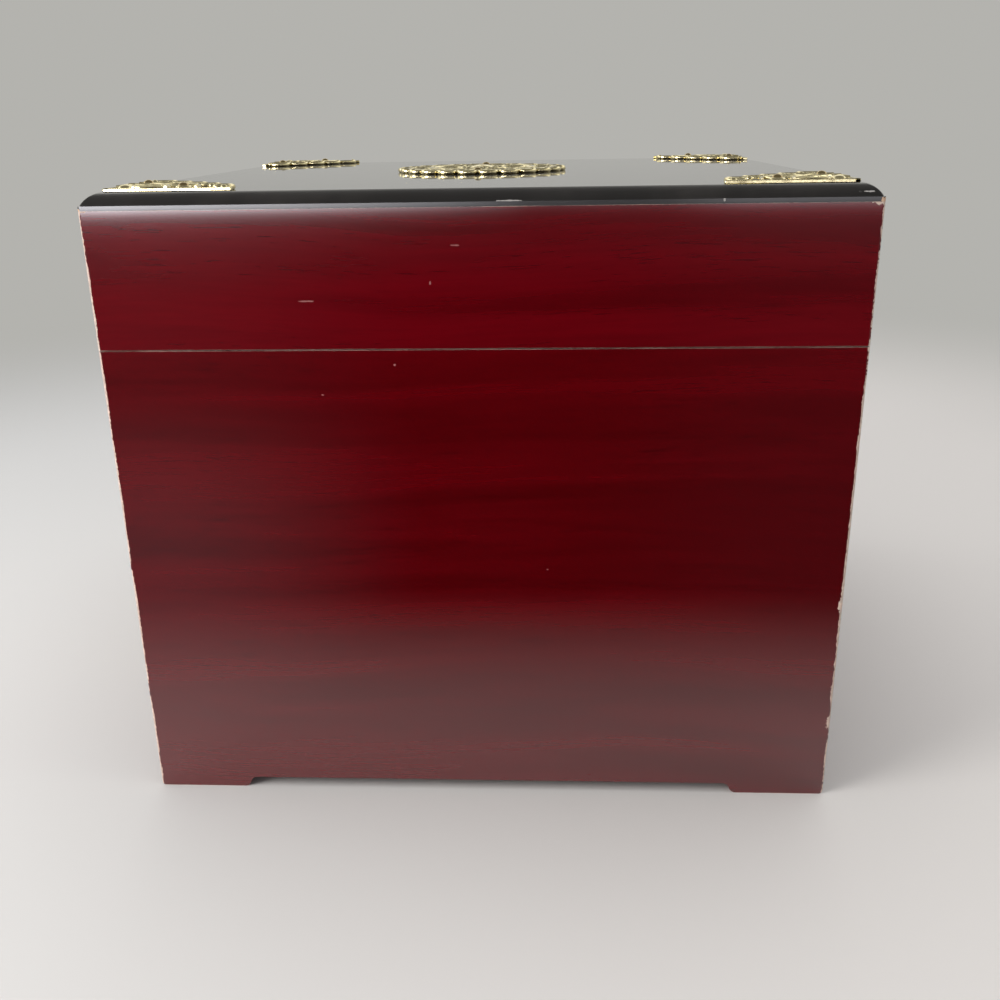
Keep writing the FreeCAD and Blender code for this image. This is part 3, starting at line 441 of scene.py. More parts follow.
@dataclass(frozen=True)
class RedLacquer:
    """Glossy red lacquer over a straight-grained veneer, with bare wood where the edges are worn."""

    effects: Effects
    dark: Colour = (0.058, 0.0002, 0.0014)
    light: Colour = (0.122, 0.0005, 0.0032)
    pore: Colour = (0.024, 0.0002, 0.0014)
    bare: Colour = (0.70, 0.54, 0.46)
    speck: Colour = (0.55, 0.26, 0.25)
    upright_wear: float = 0.0036
    level_wear: float = 0.00022
    gaps: float = 0.21
    speck_rarity: float = 0.90

    def make(self, name: str, grain: Grain, low: Vector, high: Vector, chips: Sequence[Chip] = (),
             scratches: Sequence[Chip] = ()) -> Material:
        """Builds the finish for boards of one grain direction.

        Args:
            name: the material's name.
            grain: the direction of the grain.
            low: the lowest corner of the carcase whose edges are worn.
            high: its highest corner.
            chips: the flakes that are gone.
            scratches: pale scratches in the lacquer.

        Returns:
            The material.
        """
        finish, effects = Finish(name), self.effects
        tree, place = finish.tree, finish.place
        wood = tree.use(effects.grain, Place=place, Stretch=grain.value)
        worn = tree.use(effects.arris, Place=place, Low=low, High=high, Upright=self.upright_wear,
                        Level=self.level_wear, Gaps=self.gaps)["Bare"]
        worn = finish.marked(effects.chip, chips, worn)
        dust = tree.use(effects.specks, Place=place, Rarity=self.speck_rarity)["Mask"]
        dust = finish.marked(effects.chip, scratches, dust)
        streaks = (wood["Lines"] * 0.17 + (wood["Figure"] * 0.60 + 0.12)).clamped()
        colour = tree.blend(streaks, self.dark, self.light)
        colour = tree.blend(wood["Pores"] * 0.50, colour, self.pore)
        colour = tree.blend(dust * 0.5, colour, self.speck)
        colour = tree.blend(worn, colour, tree.blend(wood["Lines"], darker(self.bare), self.bare))
        height = tree.noise(place, Noise(38.0, 2.0)) * 0.6 + wood["Lines"] * 0.05 - worn * 0.5
        return finish.set(Base_Color=colour, Roughness=worn * 0.05 + 0.60, Specular_IOR_Level=0.0,
                          Coat_Weight=1.0 - worn, Coat_Roughness=0.06, Coat_IOR=1.9,
                          Normal=tree.relief(height, 0.10 * MM))


@dataclass(frozen=True)
class BlackLacquer:
    """Deep black lacquer with faint ripples, scuffed marks, one painted highlight and bare wood at knocked
    corners.
    """

    effects: Effects
    tone: Colour = (0.0065, 0.0052, 0.0050)
    haze: Colour = (0.020, 0.017, 0.016)
    bare: Colour = (0.55, 0.36, 0.24)
    scuff_and_highlight: Colour = (0.42, 0.40, 0.38)
    upright_wear: float = 0.0012
    level_wear: float = 0.0003
    gaps: float = 0.46
    speck_rarity: float = 0.86

    def make(self, name: str, low: Vector, high: Vector, scuffs_and_highlight: Sequence[Chip],
             knocks: Sequence[Chip]) -> Material:
        """Builds the finish.

        Args:
            name: the material's name.
            low: the board's lowest corner.
            high: its highest corner.
            scuffs_and_highlight: pale scuffed marks in the lacquer, and one painted highlight at the right end
                of the moulding.
            knocks: places where bare wood shows.

        Returns:
            The material.
        """
        finish, effects = Finish(name), self.effects
        tree, place = finish.tree, finish.place
        bare = tree.use(effects.arris, Place=place, Low=low, High=high, Upright=self.upright_wear,
                        Level=self.level_wear, Gaps=self.gaps)["Bare"]
        bare = finish.marked(effects.chip, knocks, bare)
        # The marks include a painted highlight: a pale streak at the right end of the moulding, coloured like a
        # scuffed mark and without the coat.
        rubbed_and_highlight = finish.marked(effects.chip, scuffs_and_highlight)
        dust = tree.use(effects.specks, Place=place, Rarity=self.speck_rarity)["Mask"]
        colour = tree.blend(tree.noise(place, Noise(30.0, 4.0, 0.6)).span(0.45, 0.8), self.tone, self.haze)
        colour = tree.blend(dust * 0.5, colour, self.scuff_and_highlight)
        colour = tree.blend(rubbed_and_highlight * 0.8, colour, self.scuff_and_highlight)
        colour = tree.blend(bare, colour, self.bare)
        dull = rubbed_and_highlight | bare
        return finish.set(Base_Color=colour, Roughness=dull * 0.3 + 0.30, Specular_IOR_Level=0.5,
                          Coat_Weight=1.0 - dull, Coat_Roughness=0.035, Coat_IOR=1.5,
                          Normal=tree.relief(tree.noise(place, Noise(24.0, 2.0)), 0.10 * MM))


@dataclass(frozen=True)
class PlainWood:
    """Pale inner wood, thinly varnished."""

    effects: Effects
    dark: Colour = (0.20, 0.105, 0.045)
    light: Colour = (0.40, 0.245, 0.125)

    def make(self, name: str, grain: Grain) -> Material:
        """Builds the finish for one grain direction.

        Args:
            name: the material's name.
            grain: the direction of the grain.

        Returns:
            The material.
        """
        finish = Finish(name)
        tree = finish.tree
        wood = tree.use(self.effects.grain, Place=finish.place, Stretch=grain.value)
        streaks = (wood["Lines"] * 0.6 + wood["Figure"] * 0.4).clamped()
        colour = tree.blend(wood["Pores"] * 0.5, tree.blend(streaks, self.dark, self.light), self.dark)
        return finish.set(Base_Color=colour, Roughness=wood["Lines"].span(0.0, 1.0, 0.62, 0.48),
                          Normal=tree.relief(wood["Lines"], 0.08 * MM))


@dataclass(frozen=True)
class LacqueredLip:
    """Inner wood whose front edge is lacquered red, as it shows between two drawers."""

    effects: Effects
    wood: PlainWood
    red: Colour = (0.085, 0.0004, 0.0034)
    depth: float = 0.3 * MM

    def make(self, name: str, front: float) -> Material:
        """Builds the finish.

        Args:
            name: the material's name.
            front: the place of the front edge.

        Returns:
            The material.
        """
        finish = Finish(name)
        tree = finish.tree
        lines = tree.use(self.effects.grain, Place=finish.place, Stretch=Grain.ACROSS.value)["Lines"]
        lip = tree.split(finish.place)[1] < front + self.depth
        raw = tree.blend(lines, self.wood.dark, self.wood.light)
        red = tree.blend(lines, darker(self.red), self.red)
        return finish.set(Base_Color=tree.blend(lip, raw, red), Roughness=0.55, Coat_Weight=lip,
                          Coat_Roughness=0.06, Coat_IOR=1.9, Specular_IOR_Level=0.2)


@dataclass(frozen=True)
class Brass:
    """Bright plated brass with a cast surface, darker in random patches."""

    bright: Colour = (0.92, 0.81, 0.48)
    deep: Colour = (0.50, 0.38, 0.16)

    def make(self, name: str) -> Material:
        """Builds the finish.

        Args:
            name: the material's name.

        Returns:
            The material.
        """
        finish = Finish(name)
        tree = finish.tree
        tarnish = tree.noise(finish.place, Noise(160.0, 4.0, 0.6)).span(0.52, 0.78)
        grit = tree.noise(finish.place, Noise(900.0, 3.0, 0.6))
        return finish.set(Base_Color=tree.blend(tarnish * 0.55, self.bright, self.deep), Metallic=1.0,
                          Roughness=tarnish * 0.22 + 0.17, Normal=tree.relief(grit, 0.03 * MM))


@dataclass(frozen=True)
class Velvet:
    """Flocked velvet."""

    effects: Effects
    dark: Colour = (0.040, 0.002, 0.006)
    light: Colour = (0.150, 0.010, 0.024)
    sheen: Colour = (0.85, 0.30, 0.36)

    def make(self, name: str) -> Material:
        """Builds the finish.

        Args:
            name: the material's name.

        Returns:
            The material.
        """
        finish = Finish(name)
        tree = finish.tree
        nap = tree.use(self.effects.nap, Place=finish.place)
        share = (nap["Fibres"] * 0.5 + nap["Patches"] * 0.6).clamped()
        return finish.set(Base_Color=tree.blend(share, self.dark, self.light), Roughness=0.92,
                          Specular_IOR_Level=0.15, Sheen_Weight=0.55, Sheen_Roughness=0.35,
                          Sheen_Tint=self.sheen, Normal=tree.relief(nap["Fibres"], 0.4 * MM))


@dataclass(frozen=True)
class Silvering:
    """Silvered glass with a few faint smears."""

    clean: Colour = (0.90, 0.91, 0.91)
    smeared: Colour = (0.80, 0.82, 0.82)

    def make(self, name: str) -> Material:
        """Builds the finish.

        Args:
            name: the material's name.

        Returns:
            The material.
        """
        finish = Finish(name)
        smears = finish.tree.noise(finish.place, Noise(14.0, 4.0, 0.6, 1.5)).span(0.45, 0.85)
        return finish.set(Base_Color=finish.tree.blend(smears, self.clean, self.smeared), Metallic=1.0,
                          Roughness=smears * 0.05 + 0.015)


# Modelling


@dataclass(frozen=True)
class Motif:
    """A loop or a bead that an ornament repeats, in millimetres.

    Attributes:
        reach: how far from the ornament's middle it sits.
        radius: its radius, for a loop along its long way.
        squash: the width of a loop as a share of its length, or the height of a bead of its width.
        wire: the thickness of its wire as a share of the ornament's.
        steps: how many steps it has round, or 0 for the usual number.
        count: how many stand in the round.
        offset: where the first stands, as a share of the step between two.
    """

    reach: float
    radius: float
    squash: float = 1.0
    wire: float = 1.0
    steps: int = 0
    count: int = 12
    offset: float = 0.5

    def angles(self) -> list[float]:
        """Where the motifs of the round stand."""
        return [2 * math.pi * (index + self.offset) / self.count for index in range(self.count)]


def heading(angle: float) -> Vector:
    """A level direction."""
    return Vector((math.cos(angle), math.sin(angle), 0.0))


class Bench:
    """Models one piece in edit mode, shape by shape, and finishes it."""

    def __init__(self, name: str) -> None:
        """Starts an empty mesh at the origin and opens it for editing.

        Args:
            name: the piece's name.
        """
        bpy.ops.object.select_all(action="DESELECT")
        self.piece = bpy.data.objects.new(name, bpy.data.meshes.new(name))
        bpy.context.scene.collection.objects.link(self.piece)
        bpy.context.view_layer.objects.active = self.piece
        self.piece.select_set(True)
        bpy.ops.object.mode_set(mode="EDIT")

    def pick(self, kind: Part, test: Callable[[object], bool]) -> None:
        """Selects the parts of the mesh that pass a test and nothing else.

        Args:
            kind: the kind of parts.
            test: the test.
        """
        bpy.ops.mesh.select_mode(type=kind.name)
        mesh = bmesh.from_edit_mesh(self.piece.data)
        parts = getattr(mesh, kind.value)
        chosen = [part for part in parts if test(part)]
        for part in parts:
            part.select_set(False)
        for part in chosen:
            part.select_set(True)
        mesh.select_flush_mode()
        bmesh.update_edit_mesh(self.piece.data)

    def block(self, low: Sequence[float], high: Sequence[float], ease: float = 0.0, segments: int = 2) -> None:
        """Adds a straight block with eased edges.

        Args:
            low: its lowest corner.
            high: its highest corner.
            ease: the rounding of its edges.
            segments: how many steps the rounding has.
        """
        bottom, top = Vector(low), Vector(high)
        bpy.ops.mesh.primitive_cube_add(size=1.0, location=(bottom + top) / 2)
        bpy.ops.transform.resize(value=top - bottom, center_override=(bottom + top) / 2)
        if ease:
            bpy.ops.mesh.bevel(offset=ease, segments=segments, profile=0.5, affect="EDGES")

    def loop(self, centre: Sequence[float], radius: float, wire: float, squash: float = 1.0,
             angle: float = 0.0, steps: int = 24, sides: int = 10, flat: float = 1.0) -> None:
        """Adds a closed ring of wire, lying flat.

        Args:
            centre: its centre.
            radius: its radius along its long way.
            wire: the wire's radius.
            squash: its width as a share of its length.
            angle: the direction of its long way.
            steps: how many steps it has round.
            sides: how many sides the wire has.
            flat: the wire's height as a share of its width.
        """
        bpy.ops.mesh.primitive_torus_add(location=centre, major_radius=radius, minor_radius=wire,
                                         major_segments=steps, minor_segments=sides)
        bpy.ops.transform.resize(value=(1.0, squash, flat), center_override=centre)
        if angle:
            bpy.ops.transform.rotate(value=-angle, orient_axis="Z", center_override=centre)

    def arc(self, centre: Sequence[float], radius: float, wire: float, start: float, sweep: float,
            flat: float = 1.0, steps: int = 16, sides: int = 10) -> None:
        """Adds a bent wire with closed ends, spun about an upright axis.

        Args:
            centre: the centre of the bend.
            radius: the radius of the bend.
            wire: the wire's radius.
            start: the direction of its first end.
            sweep: how far it turns.
            flat: the wire's height as a share of its width.
            steps: how many steps it has.
            sides: how many sides the wire has.
        """
        end = Vector(centre) + radius * heading(start)
        bpy.ops.mesh.primitive_circle_add(vertices=sides, radius=wire, fill_type="NGON", location=end,
                                          rotation=(math.pi / 2, 0.0, start))
        bpy.ops.transform.resize(value=(1.0, 1.0, flat), center_override=end)
        bpy.ops.mesh.spin(steps=steps, angle=-sweep, center=centre, axis=(0.0, 0.0, 1.0))

    def bead(self, centre: Sequence[float], radius: float, tall: float = 1.0, segments: int = 14) -> None:
        """Adds a ball, squashed or stretched upwards."""
        bpy.ops.mesh.primitive_uv_sphere_add(segments=segments, ring_count=segments // 2, radius=radius,
                                             location=centre)
        bpy.ops.transform.resize(value=(1.0, 1.0, tall), center_override=centre)

    def loop_motif(self, motif: Motif, centre: Vector, angle: float, wire: float, flat: float = 1.0) -> None:
        """Adds a loop of an ornament."""
        self.loop(centre + heading(angle) * motif.reach * MM, motif.radius * MM, wire * motif.wire,
                  motif.squash, angle, motif.steps or 24, flat=flat)

    def bead_motif(self, motif: Motif, centre: Vector, angle: float = 0.0) -> None:
        """Adds a bead of an ornament."""
        self.bead(centre + heading(angle) * motif.reach * MM, motif.radius * MM, motif.squash,
                  motif.steps or 14)

    def rod(self, start: Sequence[float], end: Sequence[float], radius: float, sides: int = 24,
            ease: float = 0.0) -> None:
        """Adds a round bar between two points.

        Args:
            start: one end.
            end: the other end.
            radius: its radius.
            sides: how many sides it has.
            ease: the rounding of its two ends.
        """
        first, last = Vector(start), Vector(end)
        turn = (last - first).to_track_quat("Z", "Y").to_euler()
        bpy.ops.mesh.primitive_cylinder_add(vertices=sides, radius=radius, depth=(last - first).length,
                                            location=(first + last) / 2, rotation=turn)
        if ease:
            along = (last - first).normalized()
            mesh = bmesh.from_edit_mesh(self.piece.data)
            caps = [face for face in mesh.faces if face.select and abs(face.normal.dot(along)) > 0.99]
            for face in mesh.faces:
                face.select_set(face in caps)
            bpy.ops.mesh.bevel(offset=ease, segments=3, profile=0.5, affect="EDGES")

    def close(self, material: Material, slot: Slot, smooth: float = 40.0) -> Object:
        """Ends the modelling: merges doubles, turns faces outwards, smooths and dresses the piece.

        Args:
            material: its finish.
            slot: the record's slot that it belongs to; not used.
            smooth: the angle in degrees up to which faces blend into each other.

        Returns:
            The finished piece.
        """
        bpy.ops.mesh.select_all(action="SELECT")
        bpy.ops.mesh.remove_doubles(threshold=1e-6)
        bpy.ops.mesh.normals_make_consistent(inside=False)
        bpy.ops.object.mode_set(mode="OBJECT")
        bpy.ops.object.shade_smooth_by_angle(angle=math.radians(smooth))
        self.piece.data.materials.append(material)
        return self.piece


def copy_of(piece: Object, name: str, move: Matrix) -> Object:
    """Copies a piece with a mesh of its own and moves the mesh.

    Args:
        piece: the piece that is copied.
        name: the copy's name.
        move: the change of place.

    Returns:
        The copy.
    """
    twin = piece.copy()
    twin.data = piece.data.copy()
    twin.name = twin.data.name = name
    bpy.context.scene.collection.objects.link(twin)
    twin.data.transform(move)
    return twin


def stand_for(piece: Object, body: str, *nodes: str) -> None:
    """Puts a piece on its body in place of solids.

    Args:
        piece: the piece.
        body: the body that carries it.
        nodes: the solids that it stands for, or none for trim.
    """
    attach(piece, body)
    if nodes:
        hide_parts(*nodes)
    LOG.info("%s rides on %s for %s, %d faces", piece.name, body, ", ".join(nodes) or "no solid",
             len(piece.data.polygons))


def dress(node: Object, material: Material) -> None:
    """Gives a solid of the frame its finish.

    Args:
        node: the solid.
        material: its finish.
    """
    if not node.material_slots:
        node.data.materials.append(material)
    for place in node.material_slots:
        place.material = material
    LOG.info("%s wears %s", node.name, material.name)


# The box


class Finishes:
    """The materials that need no sizes."""

    def __init__(self, effects: Effects) -> None:
        """Builds the materials.

        Args:
            effects: the effects that they share.
        """
        wood = PlainWood(effects)
        self.effects = effects
        self.brass = Brass().make("cast brass")
        # The nails' brass is darker than the fittings': partly their own tone, partly painted shade standing in
        # for the dark room they mirror.
        self.nail = Brass((0.54, 0.42, 0.21), (0.24, 0.17, 0.07)).make("darkened brass")
        self.velvet = Velvet(effects).make("wine velvet")
        self.mirror = Silvering().make("silvered glass")
        self.inner_across = wood.make("inner wood across", Grain.ACROSS)
        self.inner_along = wood.make("inner wood along", Grain.ALONG)


@dataclass
class TopBoard:
    """The black board of the lid, with a smooth rounded moulding that meets the flat in a crisp line."""

    black: Material
    band: float = 1.9 * MM
    step: float = 0.5 * MM
    run: float = 5.8 * MM
    rise: float = 4.9 * MM
    steepest: float = math.radians(64.0)
    flattest: float = math.radians(17.0)
    steps: int = 9
    corner_ease: float = 0.9 * MM
    step_rise: float = 0.12 * MM
    mitre_slack: float = 0.05 * MM
    mitre_length: float = 20.0 * MM
    smooth: float = 13.0

    def profile(self) -> list[tuple[float, float]]:
        """The moulding as steps inwards and upwards.

        Returns:
            The steps, from the outer edge to the flat.
        """
        angles = [self.steepest + (self.flattest - self.steepest) * (index + 0.5) / self.steps
                  for index in range(self.steps)]
        wide = sum(math.cos(angle) for angle in angles)
        tall = sum(math.sin(angle) for angle in angles)
        return [(self.step, self.step_rise)] + [
            (math.cos(angle) * self.run / wide, math.sin(angle) * (self.rise - self.step_rise) / tall)
            for angle in angles]

    def build(self) -> None:
        """Models and places the board."""
        low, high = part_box("lid_top_board")
        bench = Bench("moulded_top_board")
        bench.block(low, (high.x, high.y, low.z + self.band))
        bench.pick(Part.FACE, lambda face: face.normal.z > UPWARDS)
        for inward, upward in self.profile():
            bpy.ops.mesh.inset(thickness=inward, depth=upward, use_even_offset=True)
        middle, half = (low + high) / 2, (high - low) / 2

        def is_mitre(edge: bmesh.types.BMEdge) -> bool:
            """Whether an edge runs down a mitre of the moulding."""
            insets = [(half.x - abs(vertex.co.x - middle.x), half.y - abs(vertex.co.y - middle.y))
                      for vertex in edge.verts]
            even = all(abs(across - along) < self.mitre_slack for across, along in insets)
            return even and edge.calc_length() < self.mitre_length

        bench.pick(Part.EDGE, is_mitre)
        bpy.ops.mesh.bevel(offset=self.corner_ease, segments=3, profile=0.5, affect="EDGES",
                           clamp_overlap=True)
        stand_for(bench.close(self.black, Slot.BLACK, self.smooth), Body.LID.value, "lid_top_board")


@dataclass
class Woodwork:
    """The solids of wood, which keep their shape and get their finishes."""

    nodes: dict[str, Object]
    finishes: Finishes
    chips_on_case: tuple[Chip, ...] = (
        Chip((0.160, 0.1620, 0.0985), 0.0020, (1.0, 1.0, 0.45)),
        Chip((0.160, 0.1622, 0.0560), 0.0016, (1.0, 1.0, 0.5)),
        Chip((0.160, 0.1620, 0.0390), 0.0019, (1.0, 1.0, 0.5)),
        Chip((0.160, -0.1578, 0.1935), 0.0012, (1.0, 1.0, 0.5)),
    )
    chips_on_lid: tuple[Chip, ...] = (
        Chip((0.160, -0.1570, 0.2722), 0.0008, (1.0, 0.3, 1.0)),
        Chip((0.160, 0.1605, 0.2722), 0.0013, (1.0, 0.4, 1.0)),
    )
    scuffs_and_highlight: tuple[Chip, ...] = (
        Chip((0.1595, 0.0156, 0.2741), 0.00034, (0.6, 0.075, 1.2)),
        # Painted highlight: a pale streak at the right end of the moulding where light glints, drawn among the
        # scuffed marks.
        Chip((0.1578, 0.1555, 0.2757), 0.0004, (0.5, 0.12, 1.2)),
        Chip((0.1600, 0.1000, 0.2735), 0.0004, (1.0, 1.0, 0.6)),
    )
    knocks: tuple[Chip, ...] = (
        Chip((0.160, -0.1580, 0.2722), 0.0008, (1.0, 0.8, 1.0)),
        Chip((0.160, 0.1620, 0.2722), 0.0014, (1.0, 0.8, 1.0)),
    )
    case_scratches: tuple[Chip, ...] = (
        Chip((0.160, -0.0328, 0.2087), 0.00040, (1.0, 0.8, 0.8)),
        Chip((0.160, -0.0640, 0.1960), 0.00025, (1.0, 0.5, 1.0)),
        Chip((0.160, 0.0310, 0.1160), 0.00025, (1.0, 0.6, 1.0)),
    )
    lid_scratches: tuple[Chip, ...] = (
        Chip((0.160, -0.0061, 0.2572), 0.00032, (1.0, 0.18, 1.0)),
        Chip((0.160, -0.0166, 0.2423), 0.00032, (1.0, 1.0, 0.5)),
        Chip((0.160, -0.0675, 0.2354), 0.00030, (1.0, 0.09, 1.0)),
    )

    def dress_all(self) -> None:
        """Dresses every wooden solid."""
        effects = self.finishes.effects
        red = RedLacquer(effects)
        # Painted light: the lid's lacquer is a lighter copy of the case's, standing in for the light that falls
        # on the lid from above.
        lid_red_painted_light = RedLacquer(effects, dark=(0.067, 0.0003, 0.0020), light=(0.142, 0.0008, 0.0044),
                             level_wear=0.00017)
        for body, lacquer, names, chips, scratches in (
                ("case", red, ("side_panel_left", "side_panel_right", "back_panel", "front_apron",
                               "front_top_rail"), self.chips_on_case, self.case_scratches),
                ("lid", lid_red_painted_light, ("lid_side_left", "lid_side_right", "lid_front", "lid_back"),
                 self.chips_on_lid, self.lid_scratches)):
            boxes = [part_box(name) for name in names]
            low = Vector([min(box[0][axis] for box in boxes) for axis in range(3)])
            high = Vector([max(box[1][axis] for box in boxes) for axis in range(3)])
            along = lacquer.make(f"red lacquer, {body} sides", Grain.ALONG, low, high, chips, scratches)
            across = lacquer.make(f"red lacquer, {body} front and back", Grain.ACROSS, low, high)
            for name in names:
                dress(self.nodes[name], along if "side" in name else across)
        for drawer in DRAWERS:
            low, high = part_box(f"drawer_{drawer}_front")
            dress(self.nodes[f"drawer_{drawer}_front"],
                  red.make(f"red lacquer, {drawer} drawer", Grain.ACROSS, low, high))
            for part in ("side_left", "side_right", "bottom"):
                dress(self.nodes[f"drawer_{drawer}_{part}"], self.finishes.inner_along)
            dress(self.nodes[f"drawer_{drawer}_back"], self.finishes.inner_across)
        for name in ("bottom_board", "tray_floor", "tray_dividers", "mirror_frame"):
            dress(self.nodes[name], self.finishes.inner_across)
        lip = LacqueredLip(effects, PlainWood(effects))
        shelf = lip.make("shelf wood with a red edge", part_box("shelf_lower")[0].y)
        for name in ("shelf_lower", "shelf_middle"):
            dress(self.nodes[name], shelf)
        low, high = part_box("lid_top_board")
        black = BlackLacquer(effects).make("black lacquer", low, high, self.scuffs_and_highlight, self.knocks)
        TopBoard(black).build()


# Brass


@dataclass
class CornerFittings:
    """Four openwork brass corners: raised rims, a fan of loops, rings of arches and beads."""

    brass: Material
    arm: float = 53.0 * MM
    rim: float = 2.4 * MM
    rim_height: float = 1.5 * MM
    rim_ease: float = 0.3 * MM
    wire: float = 0.72 * MM
    tall: float = 1.45
    fan_step: float = math.radians(18.0)
    rays: int = 5
    rings: tuple[Motif, ...] = (Motif(0.0, 11.0), Motif(0.0, 24.5, wire=1.15), Motif(0.0, 37.0))
    near_loops: tuple[Motif, ...] = (Motif(17.7, 6.7, 0.42),)
    far_loops: tuple[Motif, ...] = (Motif(30.8, 6.1, 0.60), Motif(31.6, 3.0, 0.55, 0.8, 18))
    ray_beads: tuple[Motif, ...] = (Motif(17.7, 1.35, 0.8), Motif(24.5, 1.4, 0.85))
    boss: Motif = Motif(5.6 * math.sqrt(2.0), 2.8, 0.55, steps=20)
    lobes: int = 5
    tip: float = 4.2 * MM
    end_gap: float = 4.0 * MM
    bulge: float = 1.6 * MM
    lobe_loop: Motif = Motif(1.3 * math.sqrt(2.0), 3.4, 0.72, 0.9, 20)
    lobe_bead: Motif = Motif(1.3 * math.sqrt(2.0), 1.2, 0.8)
    joint_bead: Motif = Motif(0.0, 1.5, 0.9)
    nail_far: float = 31.0 * MM
    nail_near: float = 8.0 * MM
    nail_ring: Motif = Motif(0.0, 2.5, wire=1.3)
    places: tuple[str, ...] = ("front_left", "front_right", "back_right", "back_left")

    def fan(self, bench: Bench, start: Vector) -> None:
        """Adds the rings and the fan of loops that spread from the corner.

        Args:
            bench: where the fitting is modelled.
            start: the point that they spread from.
        """
        for ring in self.rings:
            bench.arc(start, ring.radius * MM, self.wire * ring.wire, 0.0, math.pi / 2, self.tall)
        for index in range(self.rays):
            angle = math.pi / 4 + (index - (self.rays - 1) / 2) * self.fan_step
            inner = 0 < index < self.rays - 1
            for motif in self.near_loops + (self.far_loops if inner else ()):
                bench.loop_motif(motif, start, angle, self.wire, self.tall)
            for motif in self.ray_beads:
                bench.bead_motif(motif, start, angle)
        bench.bead_motif(self.boss, start, math.pi / 4)

    def edge(self, bench: Bench, corner: Vector, level: float) -> None:
        """Adds the lobed inner edge, with a bead where two lobes meet.

        Args:
            bench: where the fitting is modelled.
            corner: the fitting's outer corner.
            level: the height of the wires' middle.
        """
        run = self.arm - self.tip - self.end_gap
        points = []
        for index in range(self.lobes + 1):
            share = index / self.lobes
            rise = math.sin(math.pi * share) * self.bulge
            points.append(Vector((corner.x + self.tip + (1.0 - share) * run + rise,
                                  corner.y + self.tip + share * run + rise, level)))
        for first, second in zip(points, points[1:]):
            middle = (first + second) / 2
            facing = math.atan2(first.y - middle.y, first.x - middle.x)
            bench.arc(middle, (first - second).length / 2, self.wire, facing, math.pi, self.tall)
            bench.loop_motif(self.lobe_loop, middle, math.pi / 4, self.wire, self.tall)
            bench.bead_motif(self.lobe_bead, middle, math.pi / 4)
        for point in points:
            bench.bead_motif(self.joint_bead, point)

    def model(self, corner: Vector) -> Object:
        """Models the front left fitting.

        Args:
            corner: its outer corner, on the top board.

        Returns:
            The piece.
        """
        bench = Bench("corner_filigree_front_left")
        x, y, z = corner
        for wide, deep in ((self.arm, self.rim), (self.rim, self.arm)):
            bench.block(corner, (x + wide, y + deep, z + self.rim_height), self.rim_ease, 1)
        level = z + self.wire * self.tall
        self.fan(bench, Vector((x + self.rim / 2, y + self.rim / 2, level)))
        self.edge(bench, corner, level)
        for across, along in ((self.nail_far, self.nail_near), (self.nail_near, self.nail_far)):
            bench.loop_motif(self.nail_ring, Vector((x + across, y + along, level)), 0.0, self.wire)
        return bench.close(self.brass, Slot.BRASS)

    def build(self, centre: Vector) -> None:
        """Places the four fittings.

        Args:
            centre: the middle of the lid.
        """
        low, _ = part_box("corner_fitting_front_left")
        first = self.model(low)
        for quarter, place in enumerate(self.places):
            turn = (Matrix.Translation(centre) @ Matrix.Rotation(quarter * math.pi / 2, 4, "Z")
                    @ Matrix.Translation(-centre))
            piece = copy_of(first, f"corner_filigree_{place}", turn) if quarter else first
            stand_for(piece, Body.LID.value, f"corner_fitting_{place}")


@dataclass
class Medallion:
    """The round filigree ornament in the middle of the top."""

    brass: Material
    wire: float = 0.75 * MM
    tall: float = 1.45
    rings: tuple[Motif, ...] = (
        Motif(0.0, 39.2, 0.72, 2.0, 96), Motif(0.0, 27.6, 1.05, 1.6, 96),
        Motif(0.0, 24.6, 1.30, 1.0, 96), Motif(0.0, 12.6, 1.20, 1.2, 96),
        Motif(0.0, 7.6, 1.00, 0.7 / 0.75, 40))
    loops: tuple[Motif, ...] = (
        Motif(40.7, 3.5, 1.25, 1.0, 18, 24), Motif(33.4, 5.3, 1.15),
        Motif(33.0, 2.9, 0.90, 0.9, 20), Motif(18.6, 5.9, 0.72, count=8),
        Motif(18.2, 3.3, 0.50, 0.85, 20, 8))
    beads: tuple[Motif, ...] = (
        Motif(30.6, 1.1, 0.9, offset=0.0), Motif(36.6, 1.2, 0.9, offset=0.0),
        Motif(21.4, 1.5, 0.8, count=8, offset=0.0),
        Motif(9.6, 1.9, 0.8, count=8, offset=0.0))
    boss: Motif = Motif(0.0, 7.2, 0.30, steps=28)
    nail_ring: Motif = Motif(36.5, 2.6, wire=1.3)

    def build(self) -> None:
        """Models and places the medallion."""
        low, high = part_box("medallion")
        centre = (low + high) / 2
        centre.z = low.z + self.wire * self.tall
        bench = Bench("medallion_filigree")
        for ring in self.rings:
            bench.loop(centre, ring.radius * MM, self.wire * ring.wire, steps=ring.steps, flat=ring.squash)
        for motif in self.loops:
            for angle in motif.angles():
                bench.loop_motif(motif, centre, angle, self.wire, self.tall)
        for motif in self.beads:
            for angle in motif.angles():
                bench.bead_motif(motif, centre, angle)
        bench.bead_motif(self.boss, centre)
        for angle in (math.pi, 0.0):
            bench.loop_motif(self.nail_ring, centre, angle, self.wire)
        stand_for(bench.close(self.brass, Slot.BRASS), Body.LID.value, "medallion")


